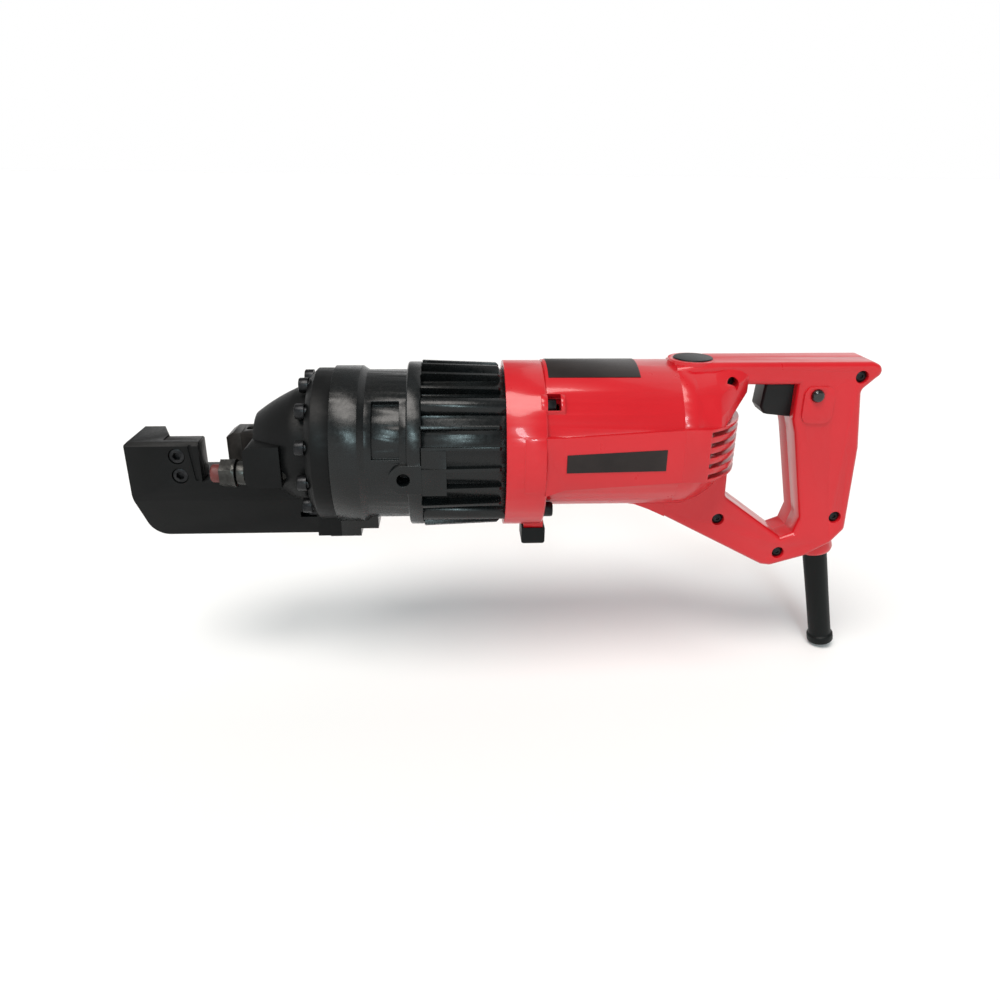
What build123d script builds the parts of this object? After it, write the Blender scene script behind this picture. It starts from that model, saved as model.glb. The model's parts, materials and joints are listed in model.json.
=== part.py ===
"""Portable electric-hydraulic rebar cutter, built as separate pieces.

Frame: millimetres, +X along the tool from the jaw to the handle, +Y to the user's right,
+Z up.  The origin is where the bar is cut: on the ram's axis, at the fixed cutter's face.
"""

from build123d import *

import os
from math import acos, atan2, cos, degrees, pi, radians, sin, sqrt, tan

os.makedirs("parts", exist_ok=True)

# ---------------------------------------------------------------- driving dimensions
# Fits
running = 0.05          # radial clearance of anything that turns or slides in a bore
loose = 0.3             # gap between neighbours that move apart
seat = 0.1              # gap round a piece that is clamped in a pocket
screw_gap = 0.2         # radial clearance of a screw in its through hole

# Jaw and C-shaped cutter head
jaw_opening = 14.0      # from the fixed cutter to the moving cutter as the tool stands
head_width = 40.0
arm_length = 47.5       # of the arm in front of the fixed cutter's face
arm_top = 7.8
throat_floor = -19.7
sole = -60.0            # flat underside of the head and of the cylinder's pad
bevel_top = -33.0       # the lower sides lean in below this height
bevel_depth = 6.0
nose_radius = 14.0
cutter_plane = -3.0     # the two cutters shear past each other at this Y
cutter_length = 24.0
cutter_thickness = 10.0
cutter_screw_r = 3.0
cutter_screw_head_r = 5.2
cutter_screw_places = ((-14.6, -1.6), (-14.0, -15.2))
neck_face = 36.0        # front of the dome that carries the ram
neck_front_r = 22.5
neck_rear_r = 38.5
neck_rear = 63.0
head_flange_front = 73.5
head_flange_r = 51.5

# Joint between head and cylinder
head_joint = 89.5
head_bolt_circle_r = 45.3
head_bolt_count = 12
head_bolt_r = 3.0
head_bolt_head_r = 5.0
head_bolt_head_height = 6.0
head_bolt_grip = 12.0   # thread depth in the cylinder

# Ram
ram_r = 20.0
ram_block_end = 56.0    # the milled front of the ram ends here
ram_top_flat = 9.0
ram_bottom_flat = -19.0
moving_cutter_thickness = 10.0
moving_cutter_far = 18.0
cutter_spigot_r = 7.0
cutter_spigot_length = 12.0
grub_r = 3.0
grub_x = 28.5
grub_y = 8.0
piston_r = 36.0
piston_front = 107.0
piston_length = 14.0
bush_wall = 3.0
bush_start = 39.0
bush_end = 55.0
rod_seal_depth = 4.5
rod_seal_end = 61.0
spring_chamber_start = 66.0
spring_chamber_r = 30.0
spring_wire_r = 2.2
spring_turns = 5

# Stopper that steadies the bar
stopper_y = -30.0
stopper_z = -9.7
stopper_thread_r = 5.0
stopper_lug = (33.0, 56.0)
stopper_lug_z = (-17.2, 10.3)
stopper_lug_near = -38.5
stopper_nut_length = 6.2
stopper_head_length = 7.5
stopper_flange_length = 2.6

# Cylinder
cylinder_rear = 147.0
cylinder_flange_rear = 107.0
cylinder_flange_r = 53.0
cylinder_body_r = 50.3
cylinder_bore_end = 134.0
rear_flange_front = 137.5
rear_flange_r = 55.4
case_r = 56.25          # the red ring and the pads of the pump case come out to this radius
fin_r = 56.8
pad_half_width = 21.0
handle_boss_x = 135.4
handle_boss_z = -6.1
handle_boss_r = 9.5
handle_boss_reach = 56.0
handle_thread_r = 4.25  # tapping size of an M10 thread
handle_thread_depth = 16.0

# Pump case
case_rear = 200.5
case_core_r = 50.5
case_bore_r = 46.5
fin_thickness = 2.2
fin_taper = 1.8
fin_rear_gap = 3.0
fin_step = 14.0
long_screw_r = 3.0
long_screw_circle = 50.0
long_screw_boss_r = 6.2
long_screw_head_r = 4.9
long_screw_head_length = 6.0
long_screw_pocket_r = 5.6
long_screw_pocket_length = 8.5

# Pump and its drive
pump_block_r = 38.0
pump_block_rear = 177.5
eccentricity = 2.5
eccentric_r = 8.0
eccentric_ring_r = 13.0
eccentric_x = (155.0, 167.0)
plunger_r = 4.0
main_bearing_r = 14.0
main_shaft_r = 6.0
main_bearing_x = (169.0, 177.0)
output_gear_x = (178.8, 187.8)
first_gear_x = (189.6, 197.6)

# Gears
pressure_angle = 25.0
addendum = 0.8
dedendum = 1.1
first_module = 1.0
pinion_teeth = 9
first_gear_teeth = 37
second_module = 1.25
small_gear_teeth = 12
output_gear_teeth = 26
backlash = 0.16

# Motor
motor_z = 7.2           # the armature's axis lies this much above the ram's
barrel_r = 49.75
barrel_bore_r = 45.5
ring_rear = 226.5
motor_rear = 314.0
side_panel_reach = 50.8
side_panel_front = (-16.0, 19.0)    # bottom and top of the side panel at its front end
side_panel_rear = (-11.5, 23.8)     # and at its rear end: it climbs towards the handle
side_panel_start = 238.5
bearing_plate_x = (200.8, 209.0)
armature_shaft_r = 5.0
core_r = 25.5
air_gap = 0.5
core_x = (238.0, 284.0)
slot_count = 14
commutator_x = (291.0, 307.0)
commutator_r = 16.0
brush_x = 299.0
fan_x = (213.0, 225.0)
fan_r = 40.0
bearing_r = 13.0
bearing_width = 8.0

# Handle
grip_half_width = 17.2
shell_wall = 3.0
handle_end = 456.7
bar_bottom = 44.0        # underside of the top bar
grip_front = 396.5       # front of the grip beside the trigger
handle_top = 58.8
guard_r = 8.8
guard_tilt = 12.4       # degrees from straight down
guard_length = 89.0
guard_bore_r = 4.6
handle_screw_r = 2.0
handle_screw_head_r = 3.9
handle_screw_places = ((349.0, 46.5), (438.6, 49.4), (353.0, -52.7), (400.0, -79.5), (437.4, -52.2))
cap_x = 328.2
cap_r = 13.3
cap_collar_r = 16.6
cap_top = 59.6
louvre_count = 5
louvre_pitch = 7.1
louvre_height = 3.2
louvre_top = 21.8
trigger_z = (20.5, 43.5)
trigger_front = 376.6
trigger_half_width = 9.5
lock_button_x = 409.6
lock_button_z = 37.2
lock_button_r = 4.3

# Derived places
ram_front = jaw_opening + moving_cutter_thickness
piston_rear = piston_front + piston_length
far_face = head_width / 2
motor_axis = Axis((0, 0, motor_z), (1, 0, 0))
first_centre = first_module * (pinion_teeth + first_gear_teeth) / 2
second_centre = second_module * (small_gear_teeth + output_gear_teeth) / 2
lay_z = (second_centre**2 - first_centre**2 + motor_z**2) / (2 * motor_z)
lay_y = sqrt(second_centre**2 - lay_z**2)


# ---------------------------------------------------------------- helpers
def rod(x0, x1, r, r_in=0.0, at=(0.0, 0.0), mode=Mode.ADD):
    """Adds a rod or a tube that runs along X from x0 to x1, centred on (y, z) = at."""
    with BuildSketch(Plane.YZ.offset(x0)) as face:
        with Locations(at):
            Circle(r)
            if r_in > 0:
                Circle(r_in, mode=Mode.SUBTRACT)
    extrude(face.sketch, amount=x1 - x0, mode=mode)


def cross_rod(x, z, y0, y1, r, mode=Mode.ADD):
    """Adds a rod that runs along Y from y0 to y1 at (x, z)."""
    with BuildSketch(Plane.XZ.offset(-y1)) as face:
        with Locations((x, z)):
            Circle(r)
    extrude(face.sketch, amount=y1 - y0, mode=mode)


def upright(x, y, z0, z1, r, mode=Mode.ADD):
    """Adds a rod that runs along Z from z0 to z1 at (x, y)."""
    with BuildSketch(Plane.XY.offset(z0)) as face:
        with Locations((x, y)):
            Circle(r)
    extrude(face.sketch, amount=z1 - z0, mode=mode)


def brick(x, y, z, mode=Mode.ADD):
    """Adds a block between the two values of each of x, y and z."""
    with BuildSketch(Plane.XY.offset(z[0])) as face:
        with Locations(((x[0] + x[1]) / 2, (y[0] + y[1]) / 2)):
            Rectangle(x[1] - x[0], y[1] - y[0])
    extrude(face.sketch, amount=z[1] - z[0], mode=mode)


def plate_outline(points, y0, y1, mode=Mode.ADD):
    """Adds a plate between y0 and y1 whose side view is the polygon of (x, z) points."""
    with BuildSketch(Plane.XZ.offset(-y1)) as face:
        with BuildLine():
            Polyline(*points, close=True)
        make_face()
    extrude(face.sketch, amount=y1 - y0, mode=mode)


def turned(points, axis_z=0.0, mode=Mode.ADD):
    """Adds a piece turned about a line along X at height axis_z from (x, radius) points."""
    with BuildSketch(Plane((0, 0, axis_z), x_dir=(1, 0, 0), z_dir=(0, -1, 0))) as face:
        with BuildLine():
            Polyline(*points, close=True)
        make_face()
    revolve(face.sketch, Axis((0, 0, axis_z), (1, 0, 0)), mode=mode)


def on_circle(angle, r):
    """(y, z) at an angle from straight up towards the user's left, in degrees."""
    return (-r * sin(radians(angle)), r * cos(radians(angle)))


def sector(x0, x1, r_in, r_out, angle0, angle1, mode=Mode.ADD):
    """Adds a curved strip about the X axis between two angles, measured as in on_circle."""
    with BuildSketch(Plane.YZ.offset(x0)) as face:
        with BuildLine():
            ThreePointArc(on_circle(angle0, r_out), on_circle((angle0 + angle1) / 2, r_out),
                          on_circle(angle1, r_out))
            Line(on_circle(angle1, r_out), on_circle(angle1, r_in))
            ThreePointArc(on_circle(angle1, r_in), on_circle((angle0 + angle1) / 2, r_in),
                          on_circle(angle0, r_in))
            Line(on_circle(angle0, r_in), on_circle(angle0, r_out))
        make_face()
    extrude(face.sketch, amount=x1 - x0, mode=mode)


def gear_points(module, teeth, turn):
    """Outline of a gear with a tooth centred on the angle turn, in degrees from +Y."""
    pitch_r = module * teeth / 2
    base_r = pitch_r * cos(radians(pressure_angle))
    tip_r = pitch_r + addendum * module
    root_r = pitch_r - dedendum * module
    at_pitch = tan(radians(pressure_angle)) - radians(pressure_angle)
    half_tooth = (pi * module / 2 - backlash) / 2 / pitch_r
    flank = []
    for step in range(5):
        r = max(base_r, root_r) + (tip_r - max(base_r, root_r)) * step / 4
        roll = acos(base_r / r)
        flank.append((r, half_tooth + at_pitch - (tan(roll) - roll)))
    if root_r < base_r:
        flank.insert(0, (root_r, flank[0][1]))
    points = []
    for tooth in range(teeth):
        middle = radians(turn) + 2 * pi * tooth / teeth
        for r, half in flank:
            points.append((r * cos(middle - half), r * sin(middle - half)))
        for r, half in reversed(flank):
            points.append((r * cos(middle + half), r * sin(middle + half)))
    return points


def gear(x, module, teeth, turn, at, bore_r=0.0):
    """Adds a spur gear about a line along X through (y, z) = at."""
    with BuildSketch(Plane.YZ.offset(x[0])) as face:
        with Locations(at):
            with BuildLine(mode=Mode.PRIVATE) as edge:
                Polyline(*gear_points(module, teeth, turn), close=True)
            add(make_face(edge.line, mode=Mode.PRIVATE))
            if bore_r > 0:
                Circle(bore_r, mode=Mode.SUBTRACT)
    extrude(face.sketch, amount=x[1] - x[0])


def save(piece, label):
    """Labels a finished piece and writes its STEP file."""
    piece.part.label = label
    export_step(piece.part, f"parts/{label}.step")
    print(f"{label:26s} solids {len(piece.part.solids()):3d}  volume {piece.part.volume:10.0f}")


# ---------------------------------------------------------------- cutter head
with BuildPart() as cutter_head:
    with BuildSketch(Plane.XZ) as side:
        with BuildLine():
            Polyline(
                (-arm_length, arm_top), (0, arm_top), (0, throat_floor),
                (head_joint, throat_floor), (head_joint, sole),
                (-arm_length + 9, sole), (-arm_length, bevel_top + 3),
                close=True,
            )
        make_face()
        fillet(side.vertices().group_by(Axis.Y)[0].sort_by(Axis.X)[0], nose_radius)
    extrude(amount=far_face, both=True)
    with BuildSketch(Plane.YZ.offset(-arm_length - 1)) as lean:
        with BuildLine():
            Polyline((-far_face - 1, bevel_top), (-far_face, bevel_top),
                     (-far_face + bevel_depth, sole - 1), (-far_face - 1, sole - 1), close=True)
        make_face()
        mirror(about=Plane.YZ)
    extrude(amount=arm_length + head_flange_front + 1, mode=Mode.SUBTRACT)
    chamfer(cutter_head.edges().filter_by(Axis.X).group_by(Axis.Z)[-1], 2.4)
    chamfer(cutter_head.edges().filter_by(Axis.Y).group_by(Axis.X)[0], 1.5)
    with BuildSketch(Plane.XZ) as dome:
        with BuildLine():
            Line((neck_face, 0), (neck_face, neck_front_r))
            ThreePointArc((neck_face, neck_front_r), (46.0, 29.5), (neck_rear, neck_rear_r))
            Polyline((neck_rear, neck_rear_r), (head_flange_front, neck_rear_r + 1),
                     (head_flange_front, 0), (neck_face, 0))
        make_face()
    revolve(axis=Axis.X)
    rod(head_flange_front, head_joint, head_flange_r)
    chamfer(cutter_head.edges().filter_by(GeomType.CIRCLE)
            .filter_by(lambda e: abs(e.radius - head_flange_r) < 0.01)
            .group_by(Axis.X)[0], 4.5)
    brick((82.0, head_joint), (-pad_half_width, pad_half_width), (sole, -40))
    with BuildSketch(Plane.XZ.offset(10)) as lug:
        with Locations(((stopper_lug[0] + stopper_lug[1]) / 2, sum(stopper_lug_z) / 2)):
            Rectangle(stopper_lug[1] - stopper_lug[0], stopper_lug_z[1] - stopper_lug_z[0])
        fillet(lug.vertices().group_by(Axis.X)[0], 5.0)
    extrude(lug.sketch, amount=-stopper_lug_near - 10)
    # the pocket that the moving cutter slides into, with a slanted end wall
    with BuildSketch(Plane.XY.offset(throat_floor)) as pocket:
        with BuildLine():
            Polyline((0.01, cutter_plane), (-23, cutter_plane), (-34, far_face + 1),
                     (0.01, far_face + 1), close=True)
        make_face()
    extrude(pocket.sketch, amount=arm_top - throat_floor + 1, mode=Mode.SUBTRACT)
    brick((-cutter_length - seat, 0.01), (cutter_plane - cutter_thickness, cutter_plane + 0.01),
          (throat_floor, arm_top + 1), mode=Mode.SUBTRACT)
    for x, z in cutter_screw_places:
        cross_rod(x, z, -far_face, cutter_plane - cutter_thickness + 0.01,
                  cutter_screw_r + screw_gap, mode=Mode.SUBTRACT)
        cross_rod(x, z, -far_face - 1, -far_face + 4.5, cutter_screw_head_r + screw_gap,
                  mode=Mode.SUBTRACT)
    with BuildSketch(Plane.XZ.offset(far_face - 1.0)) as score:
        with Locations(Location((-4.2, -6.4, 0), (0, 0, 6))):
            SlotOverall(25.0, 2.6, rotation=90)
    extrude(score.sketch, amount=2.0, mode=Mode.SUBTRACT)
    # bore for the ram, its bush and seal, then the spring's chamber
    rod(neck_face - 1, head_joint + 1, ram_r + loose, mode=Mode.SUBTRACT)
    rod(bush_start, bush_end, ram_r + bush_wall, mode=Mode.SUBTRACT)
    rod(bush_end, rod_seal_end, ram_r + rod_seal_depth, mode=Mode.SUBTRACT)
    rod(spring_chamber_start, head_joint + 1, spring_chamber_r, mode=Mode.SUBTRACT)
    rod(head_joint - 2.0, head_joint + 1, piston_r - 1.0, mode=Mode.SUBTRACT)
    rod(stopper_lug[0] - 1, head_flange_front, stopper_thread_r + running,
        at=(stopper_y, stopper_z), mode=Mode.SUBTRACT)
    with BuildSketch(Plane.YZ.offset(head_joint)) as holes:
        with PolarLocations(head_bolt_circle_r, head_bolt_count, start_angle=15):
            Circle(head_bolt_r + screw_gap)
    extrude(holes.sketch, amount=-(head_joint - head_flange_front), mode=Mode.SUBTRACT)
    with BuildSketch(Plane.YZ.offset(head_flange_front)) as bolt_seats:
        with PolarLocations(head_bolt_circle_r, head_bolt_count, start_angle=15):
            Circle(head_bolt_head_r + 1.2)
    extrude(bolt_seats.sketch, amount=-(head_flange_front - neck_rear + 1), mode=Mode.SUBTRACT)
save(cutter_head, "cutter_head")

with BuildPart() as fixed_cutter:
    brick((-cutter_length, 0), (cutter_plane - cutter_thickness, cutter_plane),
          (throat_floor, arm_top - 0.6))
    chamfer(fixed_cutter.edges().filter_by(Axis.Y).group_by(Axis.X)[-1], 0.8)
    for x, z in cutter_screw_places:
        cross_rod(x, z, cutter_plane - cutter_thickness - 1, cutter_plane - 2,
                  cutter_screw_r, mode=Mode.SUBTRACT)
save(fixed_cutter, "fixed_cutter")

with BuildPart() as fixed_cutter_screws:
    for x, z in cutter_screw_places:
        cross_rod(x, z, -far_face + 0.5, -far_face + 4.5, cutter_screw_head_r)
        cross_rod(x, z, -far_face + 4.5, cutter_plane - 2, cutter_screw_r)
        with BuildSketch(Plane.XZ.offset(far_face)) as key:
            with Locations((x, z)):
                RegularPolygon(2.7, 6)
        extrude(key.sketch, amount=-3.2, mode=Mode.SUBTRACT)
save(fixed_cutter_screws, "fixed_cutter_screws")

with BuildPart() as moving_cutter:
    brick((jaw_opening, ram_front), (cutter_plane + loose, moving_cutter_far),
          (throat_floor + 0.7, ram_top_flat))
    chamfer(moving_cutter.edges().filter_by(Axis.Y).group_by(Axis.Z)[-1]
            .sort_by(Axis.X)[0], 3.0, 4.5)
    rod(ram_front, ram_front + cutter_spigot_length, cutter_spigot_r - running,
        at=(grub_y, -5.0))
save(moving_cutter, "moving_cutter")

with BuildPart() as moving_cutter_grub:
    upright(grub_x, grub_y, -5.0 + cutter_spigot_r, ram_top_flat - 2.5, grub_r)
    with BuildSketch(Plane.XY.offset(ram_top_flat - 2.5)) as key:
        with Locations((grub_x, grub_y)):
            RegularPolygon(1.7, 6)
    extrude(key.sketch, amount=-2.5, mode=Mode.SUBTRACT)
save(moving_cutter_grub, "moving_cutter_grub")

# ---------------------------------------------------------------- ram and its guides
with BuildPart() as ram:
    with BuildSketch(Plane.YZ.offset(ram_front)) as block:
        Circle(ram_r)
        with Locations(((cutter_plane + loose + 30) / 1, (ram_top_flat + ram_bottom_flat) / 2)):
            Rectangle(60, ram_top_flat - ram_bottom_flat, mode=Mode.INTERSECT)
    extrude(block.sketch, amount=ram_block_end - ram_front)
    rod(ram_block_end, piston_front, ram_r)
    rod(piston_front, piston_rear, piston_r - running)
    rod(piston_front + 4.5, piston_rear - 4.5, piston_r, piston_r - 3.5, mode=Mode.SUBTRACT)
    rod(ram_front, ram_front + cutter_spigot_length, cutter_spigot_r, at=(grub_y, -5.0),
        mode=Mode.SUBTRACT)
    upright(grub_x, grub_y, -5.0 + cutter_spigot_r - 1, ram_top_flat + 1, grub_r,
            mode=Mode.SUBTRACT)
save(ram, "ram")

with BuildPart() as ram_bush:
    rod(bush_start, bush_end, ram_r + bush_wall, ram_r + running)
save(ram_bush, "ram_bush")

with BuildPart() as rod_seal:
    rod(bush_end, rod_seal_end, ram_r + rod_seal_depth, ram_r + running)
save(rod_seal, "rod_seal")

with BuildPart() as piston_seal:
    rod(piston_front + 4.5, piston_rear - 4.5, piston_r - 0.02, piston_r - 3.5)
save(piston_seal, "piston_seal")

with BuildPart() as return_spring:
    spring_mid_r = ram_r + 4.0
    spring_room = piston_front - spring_chamber_start - 2 * spring_wire_r
    for turn in range(spring_turns + 1):
        with BuildSketch(Plane.XZ) as wire:
            with Locations((spring_chamber_start + spring_wire_r
                            + spring_room * turn / spring_turns, spring_mid_r)):
                Circle(spring_wire_r)
        revolve(wire.sketch, Axis.X)
save(return_spring, "return_spring")

# ---------------------------------------------------------------- head bolts
with BuildPart() as head_bolts:
    for number in range(head_bolt_count):
        angle = radians(15 + number * 360 / head_bolt_count)
        place = (head_bolt_circle_r * cos(angle), head_bolt_circle_r * sin(angle))
        rod(head_flange_front, head_joint + head_bolt_grip, head_bolt_r, at=place)
        rod(head_flange_front - head_bolt_head_height, head_flange_front, head_bolt_head_r,
            at=place)
        with BuildSketch(Plane.YZ.offset(head_flange_front - head_bolt_head_height)) as key:
            with Locations(place):
                RegularPolygon(2.8, 6)
        extrude(key.sketch, amount=3.0, mode=Mode.SUBTRACT)
save(head_bolts, "head_bolts")

# ---------------------------------------------------------------- stopper
with BuildPart() as stopper_bolt:
    head_rear = stopper_lug[0] - stopper_nut_length - stopper_flange_length
    rod(head_rear, 64.5, stopper_thread_r, at=(stopper_y, stopper_z))
    for groove in range(14):
        rod(42.0 + groove * 1.5, 42.75 + groove * 1.5, stopper_thread_r + 1,
            stopper_thread_r - 0.6, at=(stopper_y, stopper_z), mode=Mode.SUBTRACT)
    with BuildSketch(Plane.YZ.offset(head_rear - stopper_head_length)) as hexagon:
        with Locations((stopper_y, stopper_z)):
            RegularPolygon(9.6, 6, rotation=30)
    extrude(hexagon.sketch, amount=stopper_head_length)
    rod(head_rear, head_rear + stopper_flange_length - 0.4, 9.2, at=(stopper_y, stopper_z))
    rod(head_rear - stopper_head_length - 3.0, head_rear - stopper_head_length, 4.0,
        at=(stopper_y, stopper_z))
save(stopper_bolt, "stopper_bolt")

with BuildPart() as stopper_tip:
    tip_rear = head_rear - stopper_head_length
    rod(tip_rear - 6.5, tip_rear, 6.0, at=(stopper_y, stopper_z))
    rod(tip_rear - 3.0, tip_rear, 4.0, at=(stopper_y, stopper_z), mode=Mode.SUBTRACT)
    chamfer(stopper_tip.edges().filter_by(GeomType.CIRCLE).group_by(Axis.X)[0], 1.0)
save(stopper_tip, "stopper_tip")

with BuildPart() as stopper_nut:
    rod(stopper_lug[0] - stopper_nut_length, stopper_lug[0], 7.8,
        stopper_thread_r + running, at=(stopper_y, stopper_z))
    chamfer(stopper_nut.edges().filter_by(GeomType.CIRCLE)
            .filter_by(lambda e: e.radius > 7), 0.7)
save(stopper_nut, "stopper_nut")

# ---------------------------------------------------------------- cylinder
with BuildPart() as cylinder:
    rod(head_joint, cylinder_flange_rear, cylinder_flange_r)
    turned([(cylinder_flange_rear, 0), (cylinder_flange_rear, cylinder_flange_r),
            (cylinder_flange_rear + 4, cylinder_body_r), (rear_flange_front, cylinder_body_r),
            (rear_flange_front, 0)])
    rod(rear_flange_front, cylinder_rear, rear_flange_r)
    chamfer(cylinder.edges().filter_by(GeomType.CIRCLE)
            .filter_by(lambda e: abs(e.radius - rear_flange_r) < 0.01), 0.8)
    for side in (1, -1):
        with BuildSketch(Plane.XZ.offset(side * 40.0)) as boss:
            with Locations((handle_boss_x, handle_boss_z)):
                Circle(handle_boss_r)
            with Locations(((handle_boss_x + cylinder_rear) / 2, handle_boss_z)):
                Rectangle(cylinder_rear - handle_boss_x, 2 * handle_boss_r)
        extrude(boss.sketch, amount=side * (handle_boss_reach - 40.0))
    brick((head_joint, 103.0), (-pad_half_width, pad_half_width), (sole, -40))
    brick((103.0, 115.0), (-pad_half_width, pad_half_width), (sole + 5.5, -40))
    rod(head_joint - 1, cylinder_bore_end, piston_r, mode=Mode.SUBTRACT)
    rod(cylinder_bore_end - 1, cylinder_rear + 1, 3.0, mode=Mode.SUBTRACT)
    for angle0, angle1 in ((40, 84), (-84, -40)):
        sector(115.5, 133.0, cylinder_body_r - 4, cylinder_body_r + 2, angle0, angle1,
               mode=Mode.SUBTRACT)
    cross_rod(handle_boss_x, handle_boss_z, -handle_boss_reach - 1,
              -handle_boss_reach + handle_thread_depth, handle_thread_r, mode=Mode.SUBTRACT)
    cross_rod(handle_boss_x, handle_boss_z, handle_boss_reach - handle_thread_depth,
              handle_boss_reach + 1, handle_thread_r, mode=Mode.SUBTRACT)
    with BuildSketch(Plane.YZ.offset(head_joint)) as tapped:
        with PolarLocations(head_bolt_circle_r, head_bolt_count, start_angle=15):
            Circle(head_bolt_r)
    extrude(tapped.sketch, amount=head_bolt_grip + 1, mode=Mode.SUBTRACT)
    with BuildSketch(Plane.YZ.offset(cylinder_rear)) as tapped:
        with PolarLocations(long_screw_circle, 4, start_angle=45):
            Circle(long_screw_r)
        with PolarLocations(30.0, 4, start_angle=45):
            Circle(long_screw_r)
    extrude(tapped.sketch, amount=-8.0, mode=Mode.SUBTRACT)
save(cylinder, "cylinder")

with BuildPart() as head_gasket:
    rod(head_joint - 2.0, head_joint, piston_r - 1.0, spring_chamber_r)
save(head_gasket, "head_gasket")

# ---------------------------------------------------------------- finned pump case
fin_angles = [90 + step * fin_step for step in (-2, -1, 0, 1, 2)]
fin_angles += [270 + step * fin_step for step in (-2, -1, 0, 1, 2)]
fin_angles += [middle + step for middle in (0, 180) for step in (-33, -19, -5, 5, 19, 33)]
with BuildPart() as fin:
    fin_rear = case_rear - fin_rear_gap
    plate_outline([(cylinder_rear, case_core_r - 1), (cylinder_rear, fin_r),
                   (fin_rear - 1.5, fin_r - fin_taper), (fin_rear, fin_r - fin_taper - 1.5),
                   (fin_rear, case_core_r - 1)], -fin_thickness / 2, fin_thickness / 2)
with BuildPart() as pump_case:
    rod(cylinder_rear, case_rear, case_core_r)
    with Locations(*[Rotation(angle, 0, 0) for angle in fin_angles]):
        add(fin.part)
    with BuildSketch(Plane.YZ.offset(cylinder_rear)) as bosses:
        with PolarLocations(long_screw_circle, 4, start_angle=45):
            Circle(long_screw_boss_r)
    extrude(bosses.sketch, amount=case_rear - cylinder_rear)
    for side in (-1, 1):
        brick((cylinder_rear, 162.5), sorted((side * 48.0, side * (case_r - 0.6))), (-17.0, 13.0))
    rod(cylinder_rear - 1, case_rear + 1, case_bore_r, mode=Mode.SUBTRACT)
    with BuildSketch(Plane.YZ.offset(cylinder_rear)) as holes:
        with PolarLocations(long_screw_circle, 4, start_angle=45):
            Circle(long_screw_r + screw_gap)
    extrude(holes.sketch, amount=case_rear - cylinder_rear, mode=Mode.SUBTRACT)
    cross_rod(155.0, -2.0, case_bore_r - 2, case_r + 1, 5.0, mode=Mode.SUBTRACT)
    cross_rod(155.0, -2.0, case_r - 0.6, fin_r + 1, 9.0, mode=Mode.SUBTRACT)
save(pump_case, "pump_case")

with BuildPart() as filler_plug:
    cross_rod(155.0, -2.0, case_r - 8.0, case_r - 0.6, 5.0)
    with BuildSketch(Plane.XZ.offset(-(case_r + 3.4))) as hexagon:
        with Locations((155.0, -2.0)):
            RegularPolygon(7.5, 6)
    extrude(hexagon.sketch, amount=4.0)
save(filler_plug, "filler_plug")

# ---------------------------------------------------------------- pump
with BuildPart() as pump_block:
    rod(cylinder_rear, pump_block_rear, pump_block_r)
    rod(cylinder_rear + 1.5, 153.5, 7.0, mode=Mode.SUBTRACT)
    rod(153.5, 168.5, 17.0, mode=Mode.SUBTRACT)
    rod(168.5, pump_block_rear + 1, main_bearing_r, mode=Mode.SUBTRACT)
    rod(169.5, pump_block_rear + 1, 7.0, at=(lay_y, lay_z), mode=Mode.SUBTRACT)
    upright(161.0, 0.0, -pump_block_r - 1, -15.0, plunger_r + running, mode=Mode.SUBTRACT)
    upright(161.0, 0.0, -pump_block_r - 1, -33.0, 7.0, mode=Mode.SUBTRACT)
    with BuildSketch(Plane.YZ.offset(cylinder_rear)) as holes:
        with PolarLocations(30.0, 4, start_angle=45):
            Circle(long_screw_r + screw_gap)
    extrude(holes.sketch, amount=pump_block_rear - cylinder_rear, mode=Mode.SUBTRACT)
    with BuildSketch(Plane.YZ.offset(pump_block_rear)) as sinks:
        with PolarLocations(30.0, 4, start_angle=45):
            Circle(5.4)
    extrude(sinks.sketch, amount=-6.5, mode=Mode.SUBTRACT)
save(pump_block, "pump_block")

with BuildPart() as pump_block_screws:
    for angle in (45, 135, 225, 315):
        place = on_circle(angle, 30.0)
        rod(cylinder_rear - 8.0, pump_block_rear - 6.5, long_screw_r, at=place)
        rod(pump_block_rear - 6.5, pump_block_rear - 0.5, 5.0, at=place)
save(pump_block_screws, "pump_block_screws")

with BuildPart() as pump_plunger:
    upright(161.0, 0.0, -33.0, -eccentric_ring_r - eccentricity - 0.15, plunger_r)
    upright(161.0, 0.0, -35.0, -33.0, 6.0)
save(pump_plunger, "pump_plunger")

with BuildPart() as valve_plug:
    upright(161.0, 0.0, -pump_block_r + 0.2, -35.6, 7.0)
save(valve_plug, "valve_plug")

with BuildPart() as check_valve:
    rod(cylinder_bore_end + 0.5, cylinder_bore_end + 5.0, 3.0)
    rod(cylinder_bore_end - 1, cylinder_bore_end + 6, 1.2, mode=Mode.SUBTRACT)
    with Locations((cylinder_bore_end + 7.3, 0, 0)):
        Sphere(2.4)
save(check_valve, "check_valve")

with BuildPart() as oil_bladder:
    rod(cylinder_rear + 2, pump_block_rear - 2, pump_block_r + 5.0, pump_block_r + 1.0)
    rod(cylinder_rear + 2, cylinder_rear + 6, pump_block_r + 1.0, pump_block_r)
    rod(pump_block_rear - 6, pump_block_rear - 2, pump_block_r + 1.0, pump_block_r)
save(oil_bladder, "oil_bladder")

# ---------------------------------------------------------------- eccentric shaft
to_lay = degrees(atan2(lay_z - motor_z, lay_y))
to_output = degrees(atan2(-lay_z, -lay_y))

with BuildPart() as eccentric_shaft:
    rod(cylinder_rear + 2.0, eccentric_x[0], 5.0)
    rod(*eccentric_x, eccentric_r, at=(0.0, -eccentricity))
    rod(eccentric_x[1], 188.6, main_shaft_r)
save(eccentric_shaft, "eccentric_shaft")

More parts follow.
